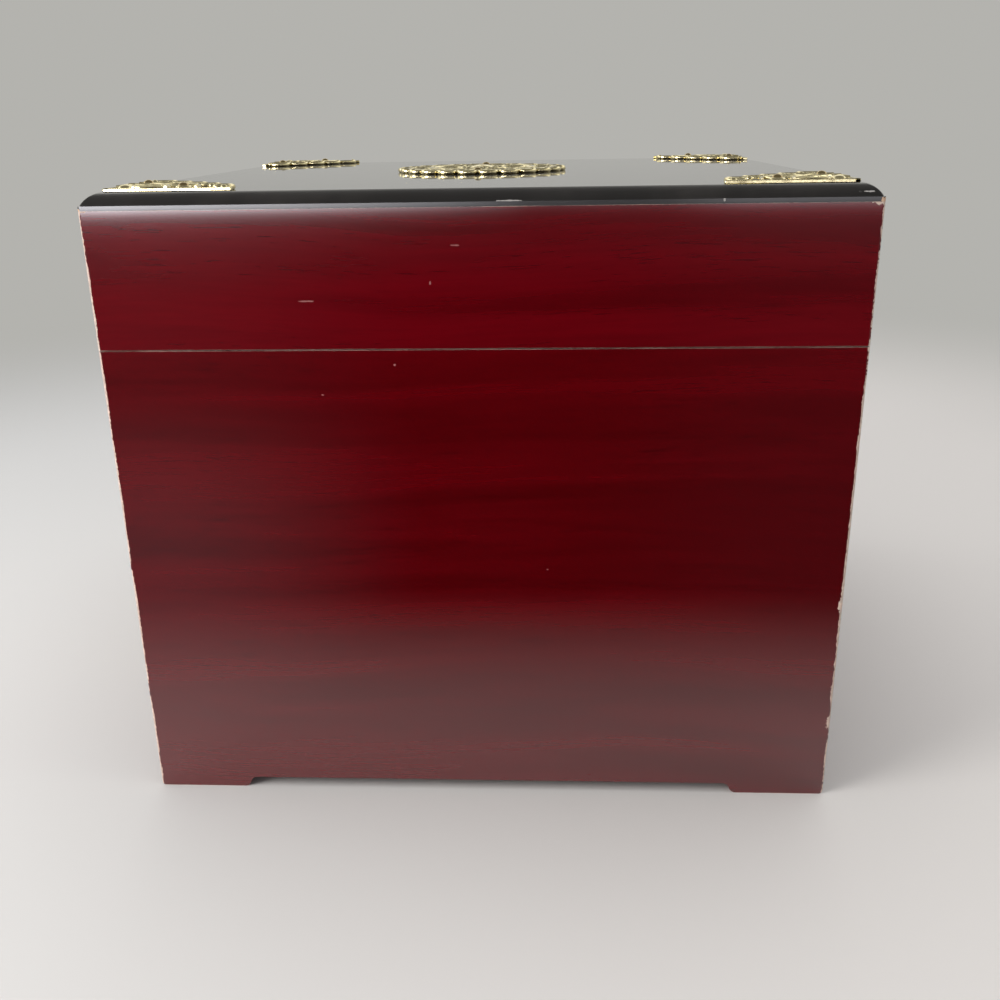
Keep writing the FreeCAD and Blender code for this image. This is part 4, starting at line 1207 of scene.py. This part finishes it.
@dataclass
class DomeNails:
    """The dome nails, each where its solid is."""

    brass: Material
    radius: float = 2.55 * MM
    height: float = 2.15 * MM
    shank: float = 0.7 * MM
    shank_length: float = 5.0 * MM
    crown: float = 0.1 * MM
    apart: float = 4.0 * MM

    def build(self, node: Object) -> None:
        """Models and places the nails.

        Args:
            node: the solid that holds every nail.
        """
        highest = max(vertex.co.z for vertex in node.data.vertices)
        crowns: list[list[Vector]] = []
        for vertex in node.data.vertices:
            if vertex.co.z > highest - self.crown:
                near = [crown for crown in crowns if (crown[0] - vertex.co.xy).length < self.apart]
                if near:
                    near[0].append(vertex.co.xy)
                else:
                    crowns.append([vertex.co.xy])
        bench = Bench("dome_nails")
        for crown in crowns:
            middle = sum(crown, Vector((0.0, 0.0))) / len(crown)
            seat = Vector((middle.x, middle.y, highest - self.height))
            bench.bead(seat, self.radius, self.height / self.radius, 20)
            bench.rod(seat - Vector((0.0, 0.0, self.shank_length)), seat, self.shank, 12)
        stand_for(bench.close(self.brass, Slot.BRASS), Body.LID.value, "lid_nails")


@dataclass
class Pulls:
    """The pull of each drawer: a beaded backplate, turned posts and a swinging bail.

    Attributes:
        border: the corners of a quarter of the backplate's raised border, from its side to its top.
        studs: the beads of the backplate, each with its place across and up and its radius.
        bail_beads: the beads of the bail's grip, each with its distance from the middle and its radius.
    """

    brass: Material
    border: tuple[tuple[float, float], ...] = ((31.6, 0.0), (29.2, 3.6), (24.4, 6.5), (12.9, 6.2),
                                               (11.2, 6.9), (6.4, 11.6), (0.0, 11.6))
    border_wire: float = 0.5 * MM
    studs: tuple[tuple[float, float, float], ...] = ((31.6, 0.0, 1.1), (27.0, 0.0, 1.3), (5.0, 9.3, 0.9),
                                                     (0.0, 9.3, 0.9), (-5.0, 9.3, 0.9))
    ring: Motif = Motif(0.0, 7.6, 0.72, steps=40)
    ring_wire: float = 0.55 * MM
    boss: Motif = Motif(0.0, 5.4, 0.68, steps=28)
    boss_rise: float = 0.26
    post_spacing: float = 36.0 * MM
    collars: tuple[tuple[float, float], ...] = ((1.0 * MM, 3.8 * MM), (1.9 * MM, 3.0 * MM))
    post: float = 2.3 * MM
    post_ease: float = 0.3 * MM
    post_end: float = 1.5 * MM
    knuckle: float = 2.8 * MM
    tip: float = 1.6 * MM
    stem: float = 1.1 * MM
    stem_length: float = 7.0 * MM
    bail_arm: float = 22.5 * MM
    bail_inner: float = 15.4 * MM
    bail_drop: float = 17.0 * MM
    bail_sweep: float = 9.0 * MM
    bail_wire: float = 1.25 * MM
    bail_axle: float = 1.2 * MM
    bail_elbow: float = 1.7 * MM
    bail_beads: tuple[tuple[float, float], ...] = ((0.0, 2.2), (3.6, 1.8), (-3.6, 1.8), (6.4, 1.5), (-6.4, 1.5))

    def model_posts(self, pivot: Vector, seat: float, tip: float) -> Object:
        """Models the lower drawer's two turned posts.

        Args:
            pivot: the middle of the bail's axis.
            seat: the place of the backplate's face.
            tip: the place of the posts' ends.

        Returns:
            The posts.
        """
        bench = Bench("lower_turned_posts")
        for side in (-1, 1):
            x, _, z = pivot + Vector((side * self.post_spacing / 2, 0.0, 0.0))
            turned = [(seat - length, radius) for length, radius in self.collars]
            for end, radius in turned + [(tip + self.post_end, self.post)]:
                bench.rod((x, seat, z), (x, end, z), radius, 28, self.post_ease)
            bench.bead((x, pivot.y, z), self.knuckle, 1.0, 24)
            bench.bead((x, tip + self.tip, z), self.tip, 1.0, 18)
            bench.rod((x, seat, z), (x, seat + self.stem_length, z), self.stem, 12)
        return bench.close(self.brass, Slot.BRASS)

    def model_bail(self, pivot: Vector) -> Object:
        """Models the lower drawer's bail.

        Args:
            pivot: the middle of its axis.

        Returns:
            The bail.
        """
        bench = Bench("lower_swinging_bail")
        right, up = Vector((1.0, 0.0, 0.0)), Vector((0.0, 0.0, 1.0))
        bend = pivot - up * (self.bail_drop - self.bail_sweep)
        for side in (-1, 1):
            elbow = pivot + right * side * self.bail_arm
            centre = bend + right * side * (self.bail_arm - self.bail_sweep)
            start = centre + right * side * self.bail_sweep
            bench.bead(elbow, self.bail_elbow, 1.0, 16)
            bench.rod(pivot + right * side * self.bail_inner, elbow, self.bail_axle, 16)
            bench.rod(elbow, start, self.bail_wire, 16)
            bpy.ops.mesh.primitive_circle_add(vertices=16, radius=self.bail_wire, fill_type="NGON",
                                              location=start)
            bpy.ops.mesh.spin(steps=14, angle=-side * math.pi / 2, center=centre, axis=(0.0, 1.0, 0.0))
        foot = pivot - up * self.bail_drop
        reach = right * (self.bail_arm - self.bail_sweep)
        bench.rod(foot - reach, foot + reach, self.bail_wire, 16)
        for offset, radius in self.bail_beads:
            bench.bead(foot + right * offset * MM, radius * MM, 1.0, 18)
        return bench.close(self.brass, Slot.BRASS)

    def model_relief(self) -> Object:
        """Models the raised border, the beads and the boss of the lower drawer's backplate.

        Returns:
            The relief.
        """
        low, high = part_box("drawer_lower_pull_plate")
        middle = Vector((0.0, low.y, (low.z + high.z) / 2))
        bench = Bench("lower_plate_relief")
        for side in (-1, 1):
            for up in (-1, 1):
                points = [middle + Vector((side * across, 0.0, up * tall)) * MM for across, tall in self.border]
                for first, second in zip(points, points[1:]):
                    bench.rod(first, second, self.border_wire, 10)
                    bench.bead(second, self.border_wire, 1.0, 10)
            for across, tall, radius in self.studs:
                bench.bead(middle + Vector((side * across, 0.0, side * tall)) * MM, radius * MM, 1.0,
                           12 if tall else 14)
        bench.loop(middle, self.ring.radius * MM, self.ring_wire, self.ring.squash, steps=self.ring.steps)
        bpy.ops.transform.rotate(value=math.pi / 2, orient_axis="X", center_override=middle)
        bench.bead_motif(self.boss, middle)
        bpy.ops.transform.resize(value=(1.0, self.boss_rise, 1.0), center_override=middle)
        return bench.close(self.brass, Slot.BRASS)

    def build(self) -> None:
        """Places the pulls of the three drawers."""
        low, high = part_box("drawer_lower_pull_posts")
        bail_low, bail_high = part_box("drawer_lower_bail")
        pivot = Vector((0.0, (bail_low.y + bail_high.y) / 2, (low.z + high.z) / 2))
        posts = self.model_posts(pivot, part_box("drawer_lower_pull_plate")[0].y, low.y)
        bail, relief = self.model_bail(pivot), self.model_relief()
        for drawer in DRAWERS:
            rise = Matrix.Translation((0.0, 0.0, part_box(f"drawer_{drawer}_pull_posts")[0].z - low.z))
            for model, body, nodes in ((relief, "drawer", ()), (posts, "drawer", ("pull_posts",)),
                                       (bail, "bail", ("bail",))):
                name = model.name.replace(DRAWERS[0], drawer)
                piece = model if drawer == DRAWERS[0] else copy_of(model, name, rise)
                stand_for(piece, f"{drawer}_{body}", *(f"drawer_{drawer}_{node}" for node in nodes))


@dataclass
class Upholstery:
    """The velvet of the tray, the lid and the drawers, and the rolls that hold rings."""

    velvet: Material
    rolls: int = 5
    roll_top: float = 1.04
    roll_smooth: float = 80.0
    fill: float = 0.85
    wall: float = 1.2 * MM
    sheet_ease: float = 0.45 * MM
    fold_ease: float = 1.0 * MM

    def sheet(self, name: str, node: str, body: str) -> None:
        """Models a flat lining with soft edges.

        Args:
            name: the piece's name.
            node: the solid that it stands for.
            body: the body that carries it.
        """
        low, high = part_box(node)
        bench = Bench(name)
        bench.block(low, high, self.sheet_ease, 3)
        piece = bench.close(self.velvet, Slot.CLOTH)
        stand_for(piece, body, node)

    def drawer_lining(self, drawer: str) -> None:
        """Models the lining of a drawer, open above and rounded inside.

        Args:
            drawer: the drawer.
        """
        node = f"drawer_{drawer}_lining"
        low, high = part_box(node)
        bench = Bench(f"{drawer}_drawer_velvet")
        bench.block(low, high)
        bench.pick(Part.FACE, lambda face: face.normal.z > UPWARDS)
        bpy.ops.mesh.inset(thickness=self.wall)
        bpy.ops.mesh.extrude_region_move(
            TRANSFORM_OT_translate={"value": (0.0, 0.0, low.z + self.wall - high.z)})
        left, right = low.x + self.wall / 2, high.x - self.wall / 2
        bench.pick(Part.EDGE, lambda edge: all(left < vertex.co.x < right for vertex in edge.verts))
        bpy.ops.mesh.bevel(offset=self.fold_ease, segments=3, profile=0.5, affect="EDGES", clamp_overlap=True)
        piece = bench.close(self.velvet, Slot.CLOTH)
        stand_for(piece, f"{drawer}_drawer", node)

    def ring_rolls(self) -> None:
        """Models the padded rolls side by side, each with drawn-in ends."""
        low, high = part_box("ring_cushion")
        bench = Bench("ring_roll_cushion")
        width = (high.y - low.y) / self.rolls
        for index in range(self.rolls):
            centre = Vector(((low.x + high.x) / 2, low.y + (index + 0.5) * width, (low.z + high.z) / 2))
            bpy.ops.mesh.primitive_cube_add(size=1.0, location=centre)
            bpy.ops.transform.resize(value=(high.x - low.x, width, high.z - low.z), center_override=centre)
            bpy.ops.mesh.subdivide(number_cuts=3)
        bpy.ops.mesh.select_all(action="SELECT")
        bpy.ops.mesh.normals_make_consistent(inside=False)
        bpy.ops.object.mode_set(mode="OBJECT")
        soft = bench.piece.modifiers.new("soft", "SUBSURF")
        soft.levels = soft.render_levels = 2
        bpy.ops.object.modifier_apply(modifier=soft.name)
        for vertex in bench.piece.data.vertices:
            share = (vertex.co.z - low.z) / (high.z - low.z)
            vertex.co.z = low.z + (high.z - low.z) * min(1.0, share * self.roll_top)
        bpy.ops.object.mode_set(mode="EDIT")
        piece = bench.close(self.velvet, Slot.CLOTH, self.roll_smooth)
        stand_for(piece, Body.CASE.value, "ring_cushion")

    def build(self) -> None:
        """Models every lining and the ring rolls."""
        self.sheet("tray_velvet", "tray_lining", Body.CASE.value)
        self.sheet("lid_velvet", "lid_liner", Body.LID.value)
        for drawer in DRAWERS:
            self.drawer_lining(drawer)
        self.ring_rolls()


@dataclass
class MirrorGlass:
    """The mirror inside the lid, with a ground bevel."""

    finish: Material
    bevel_width: float = 14.0 * MM
    bevel_depth: float = 1.2 * MM
    slack: float = 0.1 * MM
    smooth: float = 1.0

    def build(self) -> None:
        """Models and places the mirror."""
        low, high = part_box("mirror")
        bench = Bench("bevelled_mirror")
        bench.block(low, high)
        bench.pick(Part.FACE, lambda face: face.normal.z < -UPWARDS)
        bpy.ops.mesh.inset(thickness=self.bevel_width)

        def is_rim(vertex: bmesh.types.BMVert) -> bool:
            """Whether a vertex is on the outer edge of the lower face."""
            across = abs(vertex.co.x) - high.x
            along = abs(vertex.co.y - (low.y + high.y) / 2) - (high.y - low.y) / 2
            return vertex.co.z < low.z + self.slack and max(across, along) > -self.slack

        bench.pick(Part.VERT, is_rim)
        bpy.ops.transform.translate(value=(0.0, 0.0, self.bevel_depth))
        stand_for(bench.close(self.finish, Slot.MIRROR, self.smooth), Body.LID.value, "mirror")


# The studio


@dataclass(frozen=True)
class Lamp:
    """A round soft lamp: where it hangs, what it shines at, its diameter, watts, tint and if gloss shows it."""

    name: str
    place: Point
    aim: Point
    size: float
    power: float
    tint: Colour
    mirrored: bool = True

    def hang(self) -> None:
        """Puts the lamp in its place."""
        light = bpy.data.lights.new(self.name, "AREA")
        light.shape, light.size, light.energy, light.color = "DISK", self.size, self.power, self.tint
        holder = bpy.data.objects.new(self.name, light)
        holder.location = self.place
        holder.rotation_euler = (Vector(self.aim) - Vector(self.place)).to_track_quat("-Z", "Y").to_euler()
        holder.visible_glossy = self.mirrored
        bpy.context.scene.collection.objects.link(holder)


@dataclass
class DimRoom:
    """A dark floor and walls with a window, which only the gloss of the box sees.

    Attributes:
        half: half the floor's width.
        level: the floor's height, just above the pale one.
        wall: the height of the wall opposite the shown side.
        low_wall: the height of the walls beside the front and the back.
        tint: the colour of its light.
        elsewhere: its brightness where the shown side doesn't mirror it.
        shown: half the box's width.
        eye_y: the camera's place along Y.
        eye_back: how far the camera's mirror image lies behind the middle of the box.
        eye_away: how far the camera stands from the shown side.
        nearest: the least distance from that image that is reckoned with.
    """

    half: float = 1.6
    level: float = 0.002
    wall: float = 1.2
    low_wall: float = 0.28
    tint: Colour = (1.0, 0.98, 1.03)
    elsewhere: float = 0.15
    shown: float = 0.16
    eye_y: float = 0.027
    eye_back: float = 0.265
    eye_away: float = 0.425
    nearest: float = 0.35

    def build(self) -> None:
        """Models, dresses and places the room."""
        bench = Bench("dim_room")
        bpy.ops.mesh.primitive_plane_add(size=2 * self.half, location=(0.0, 0.0, self.level))
        for x, y, height in ((self.half, 0.0, self.wall), (0.0, -self.half, self.low_wall),
                             (0.0, self.half, self.low_wall)):
            middle = (x, y, height / 2)
            upright = (0.0, math.pi / 2, 0.0) if x else (math.pi / 2, 0.0, 0.0)
            bpy.ops.mesh.primitive_plane_add(size=1.0, location=middle, rotation=upright)
            size = (1.0, 2 * self.half, height) if x else (2 * self.half, 1.0, height)
            bpy.ops.transform.resize(value=size, center_override=middle)
        bpy.ops.object.mode_set(mode="OBJECT")
        room = bench.piece
        room.data.materials.append(self.finish())
        room.visible_camera = room.visible_diffuse = room.visible_shadow = room.visible_transmission = False

    def finish(self) -> Material:
        """Builds the room's glow, which is laid out as the shown side mirrors it to the camera.

        Returns:
            The material.
        """
        finish = Finish("dim room")
        tree = finish.tree
        x, y, z = tree.split(finish.place)
        across = (y - self.eye_y) / ((x + self.eye_back) | self.nearest) * self.eye_away + self.eye_y
        left = across.span(-0.02, -0.15)
        side = left + across.span(0.03, 0.15, 0.0, 0.4)
        near = x.span(1.0, 0.42, 0.0, 0.13) * left
        rise = z.span(0.0, 0.16) * (side * 0.07 + 0.03)
        window = across.span(0.02, -0.15, 0.6, 12.0, False) + across.span(0.07, 0.11, 0.0, 1.3)
        window = window * (z.span(0.160, 0.172) * z.span(0.42, 0.34))
        seen = side * 0.05 + near + (rise + window)
        opposite = x.span(0.12, 0.20) * abs(across).span(0.26, 0.20)
        glow = opposite * (seen - self.elsewhere) + self.elsewhere
        out = (abs(x) | abs(y)) - self.shown
        clear = tree.node("ShaderNodeBsdfTransparent")
        lit = tree.node("ShaderNodeEmission", {"Color": self.tint, "Strength": glow})
        return finish.show(tree.merge(out.span(0.005, 0.23), clear, lit))


@dataclass
class Studio:
    """A pale floor that fades into a grey backdrop, soft lights and the camera."""

    backdrop: Colour = (0.455, 0.450, 0.425)
    # Painted shade and light: the floor's colour is darker on the left and lighter on the right, standing in
    # for how the lamps light it.
    floor_painted_darker_left: Colour = (0.560, 0.556, 0.550)
    floor_painted_lighter_right: Colour = (0.700, 0.672, 0.648)
    floor_radius: float = 3.0
    ambient: float = 0.48
    ambient_tint: Colour = (0.97, 0.98, 1.0)
    lamps: tuple[Lamp, ...] = (
        Lamp("overhead", (-0.25, 0.0, 1.7), (0.0, 0.0, 0.1), 1.8, 17.0, (1.0, 0.99, 0.97), False),
        Lamp("front left", (0.64, -0.98, 0.52), (0.1, 0.0, 0.12), 0.7, 12.2, (1.0, 0.985, 0.96)),
        Lamp("right", (0.3, 1.5, 1.1), (0.0, 0.0, 0.12), 1.0, 1.8, (1.0, 0.985, 0.97), False),
        Lamp("side window", (-0.4, -1.9, 0.9), (0.0, 0.0, 0.2), 0.9, 3.0, (1.0, 0.99, 0.97)),
    )
    focal_pixels: float = 1041.0
    picture: int = 1000
    sensor: float = 36.0
    eye: Point = (0.58477, 0.03186, 0.30328)
    yaw: float = math.radians(-2.899)
    pitch: float = math.radians(19.960)
    roll: float = math.radians(-0.936)

    def lay_floor(self) -> None:
        """Lays the floor, painted darker on the left and lighter on the right as shade and light, which turns
        into the backdrop's grey further out.
        """
        bench = Bench("floor")
        bpy.ops.mesh.primitive_circle_add(vertices=96, radius=self.floor_radius, fill_type="NGON")
        bpy.ops.object.mode_set(mode="OBJECT")
        finish = Finish("pale floor")
        tree = finish.tree
        # painted shade and light across the floor, from the darker left to the lighter right
        share = tree.split(finish.place)[1].span(-0.5, 0.5)
        finish.set(Base_Color=tree.blend(share, self.floor_painted_darker_left, self.floor_painted_lighter_right), Roughness=0.9,
                   Specular_IOR_Level=0.1)
        away = tree.vector("LENGTH", finish.place).span(0.55, 1.35)
        glow = tree.node("ShaderNodeEmission", {"Color": self.backdrop})
        bench.piece.data.materials.append(finish.show(tree.merge(away, finish.shader, glow)))

    def set_world(self) -> None:
        """Sets the backdrop and the fill. The gloss sees a darker ceiling and a bright cloth behind."""
        world = bpy.data.worlds.new("studio")
        world.use_nodes = True
        bpy.context.scene.world = world
        tree, nodes = Tree(world.node_tree), world.node_tree.nodes
        rays = tree.node("ShaderNodeLightPath").outputs
        camera, glossy, through = (Signal(tree, rays[f"Is {kind} Ray"])
                                   for kind in ("Camera", "Glossy", "Transmission"))
        x, _, height = tree.split(tree.node("ShaderNodeTexCoord").outputs["Generated"])
        ceiling = height.span(0.58, 0.76) * -0.60
        cloth = height.span(0.28, 0.38) * height.span(0.66, 0.56) * x.span(0.3, -0.1, 0.0, 1.5)
        shown = nodes["Background"]
        tree.feed(shown.inputs["Color"], self.backdrop)
        tree.feed(shown.inputs["Strength"], (ceiling + cloth) * glossy + 1.0)
        fill = tree.node("ShaderNodeBackground", {"Color": self.ambient_tint, "Strength": self.ambient})
        mixed = tree.merge(camera | (glossy | through), fill, shown)
        tree.feed(nodes["World Output"].inputs["Surface"], mixed.outputs[0])
        bpy.context.scene.view_settings.view_transform = "Standard"

    def set_camera(self) -> None:
        """Puts the camera where the photograph was taken from."""
        ahead = heading(self.yaw)
        level, down = math.cos(self.pitch), math.sin(self.pitch)
        forward = Vector((-ahead.x * level, ahead.y * level, -down))
        right = Vector((ahead.y, ahead.x, 0.0))
        up = right.cross(forward)
        straight, lean = math.cos(self.roll), math.sin(self.roll)
        right, up = straight * right + lean * up, straight * up - lean * right
        camera = bpy.data.cameras.new("camera")
        camera.sensor_width = self.sensor
        camera.sensor_fit = "HORIZONTAL"
        camera.lens = self.focal_pixels / self.picture * self.sensor
        camera.clip_start = 10.0 * MM
        holder = bpy.data.objects.new("camera", camera)
        axes = Matrix((right, up, -forward)).transposed().to_4x4()
        holder.matrix_world = Matrix.Translation(self.eye) @ axes
        bpy.context.scene.collection.objects.link(holder)
        bpy.context.scene.camera = holder

    def build(self) -> None:
        """Sets up the whole studio."""
        self.lay_floor()
        DimRoom().build()
        for lamp in self.lamps:
            lamp.hang()
        self.set_world()
        self.set_camera()


def main() -> None:
    """Loads the frame, models and dresses every piece and sets up the studio."""
    logging.basicConfig(level=logging.INFO, format="%(message)s")
    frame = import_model()
    nodes = frame["nodes"]
    effects = Effects(grain_group(), arris_group(), chip_group(), specks_group(), nap_group())
    finishes = Finishes(effects)
    Studio().build()
    Woodwork(nodes, finishes).dress_all()
    low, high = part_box("lid_top_board")
    CornerFittings(finishes.brass).build((low + high) / 2)
    Medallion(finishes.brass).build()
    DomeNails(finishes.nail).build(nodes["lid_nails"])
    Pulls(finishes.brass).build()
    Upholstery(finishes.velvet).build()
    MirrorGlass(finishes.mirror).build()
    for name, node in nodes.items():
        if "hinge" in name or "pull_plate" in name:
            dress(node, finishes.brass)


if __name__ == "__main__":
    main()
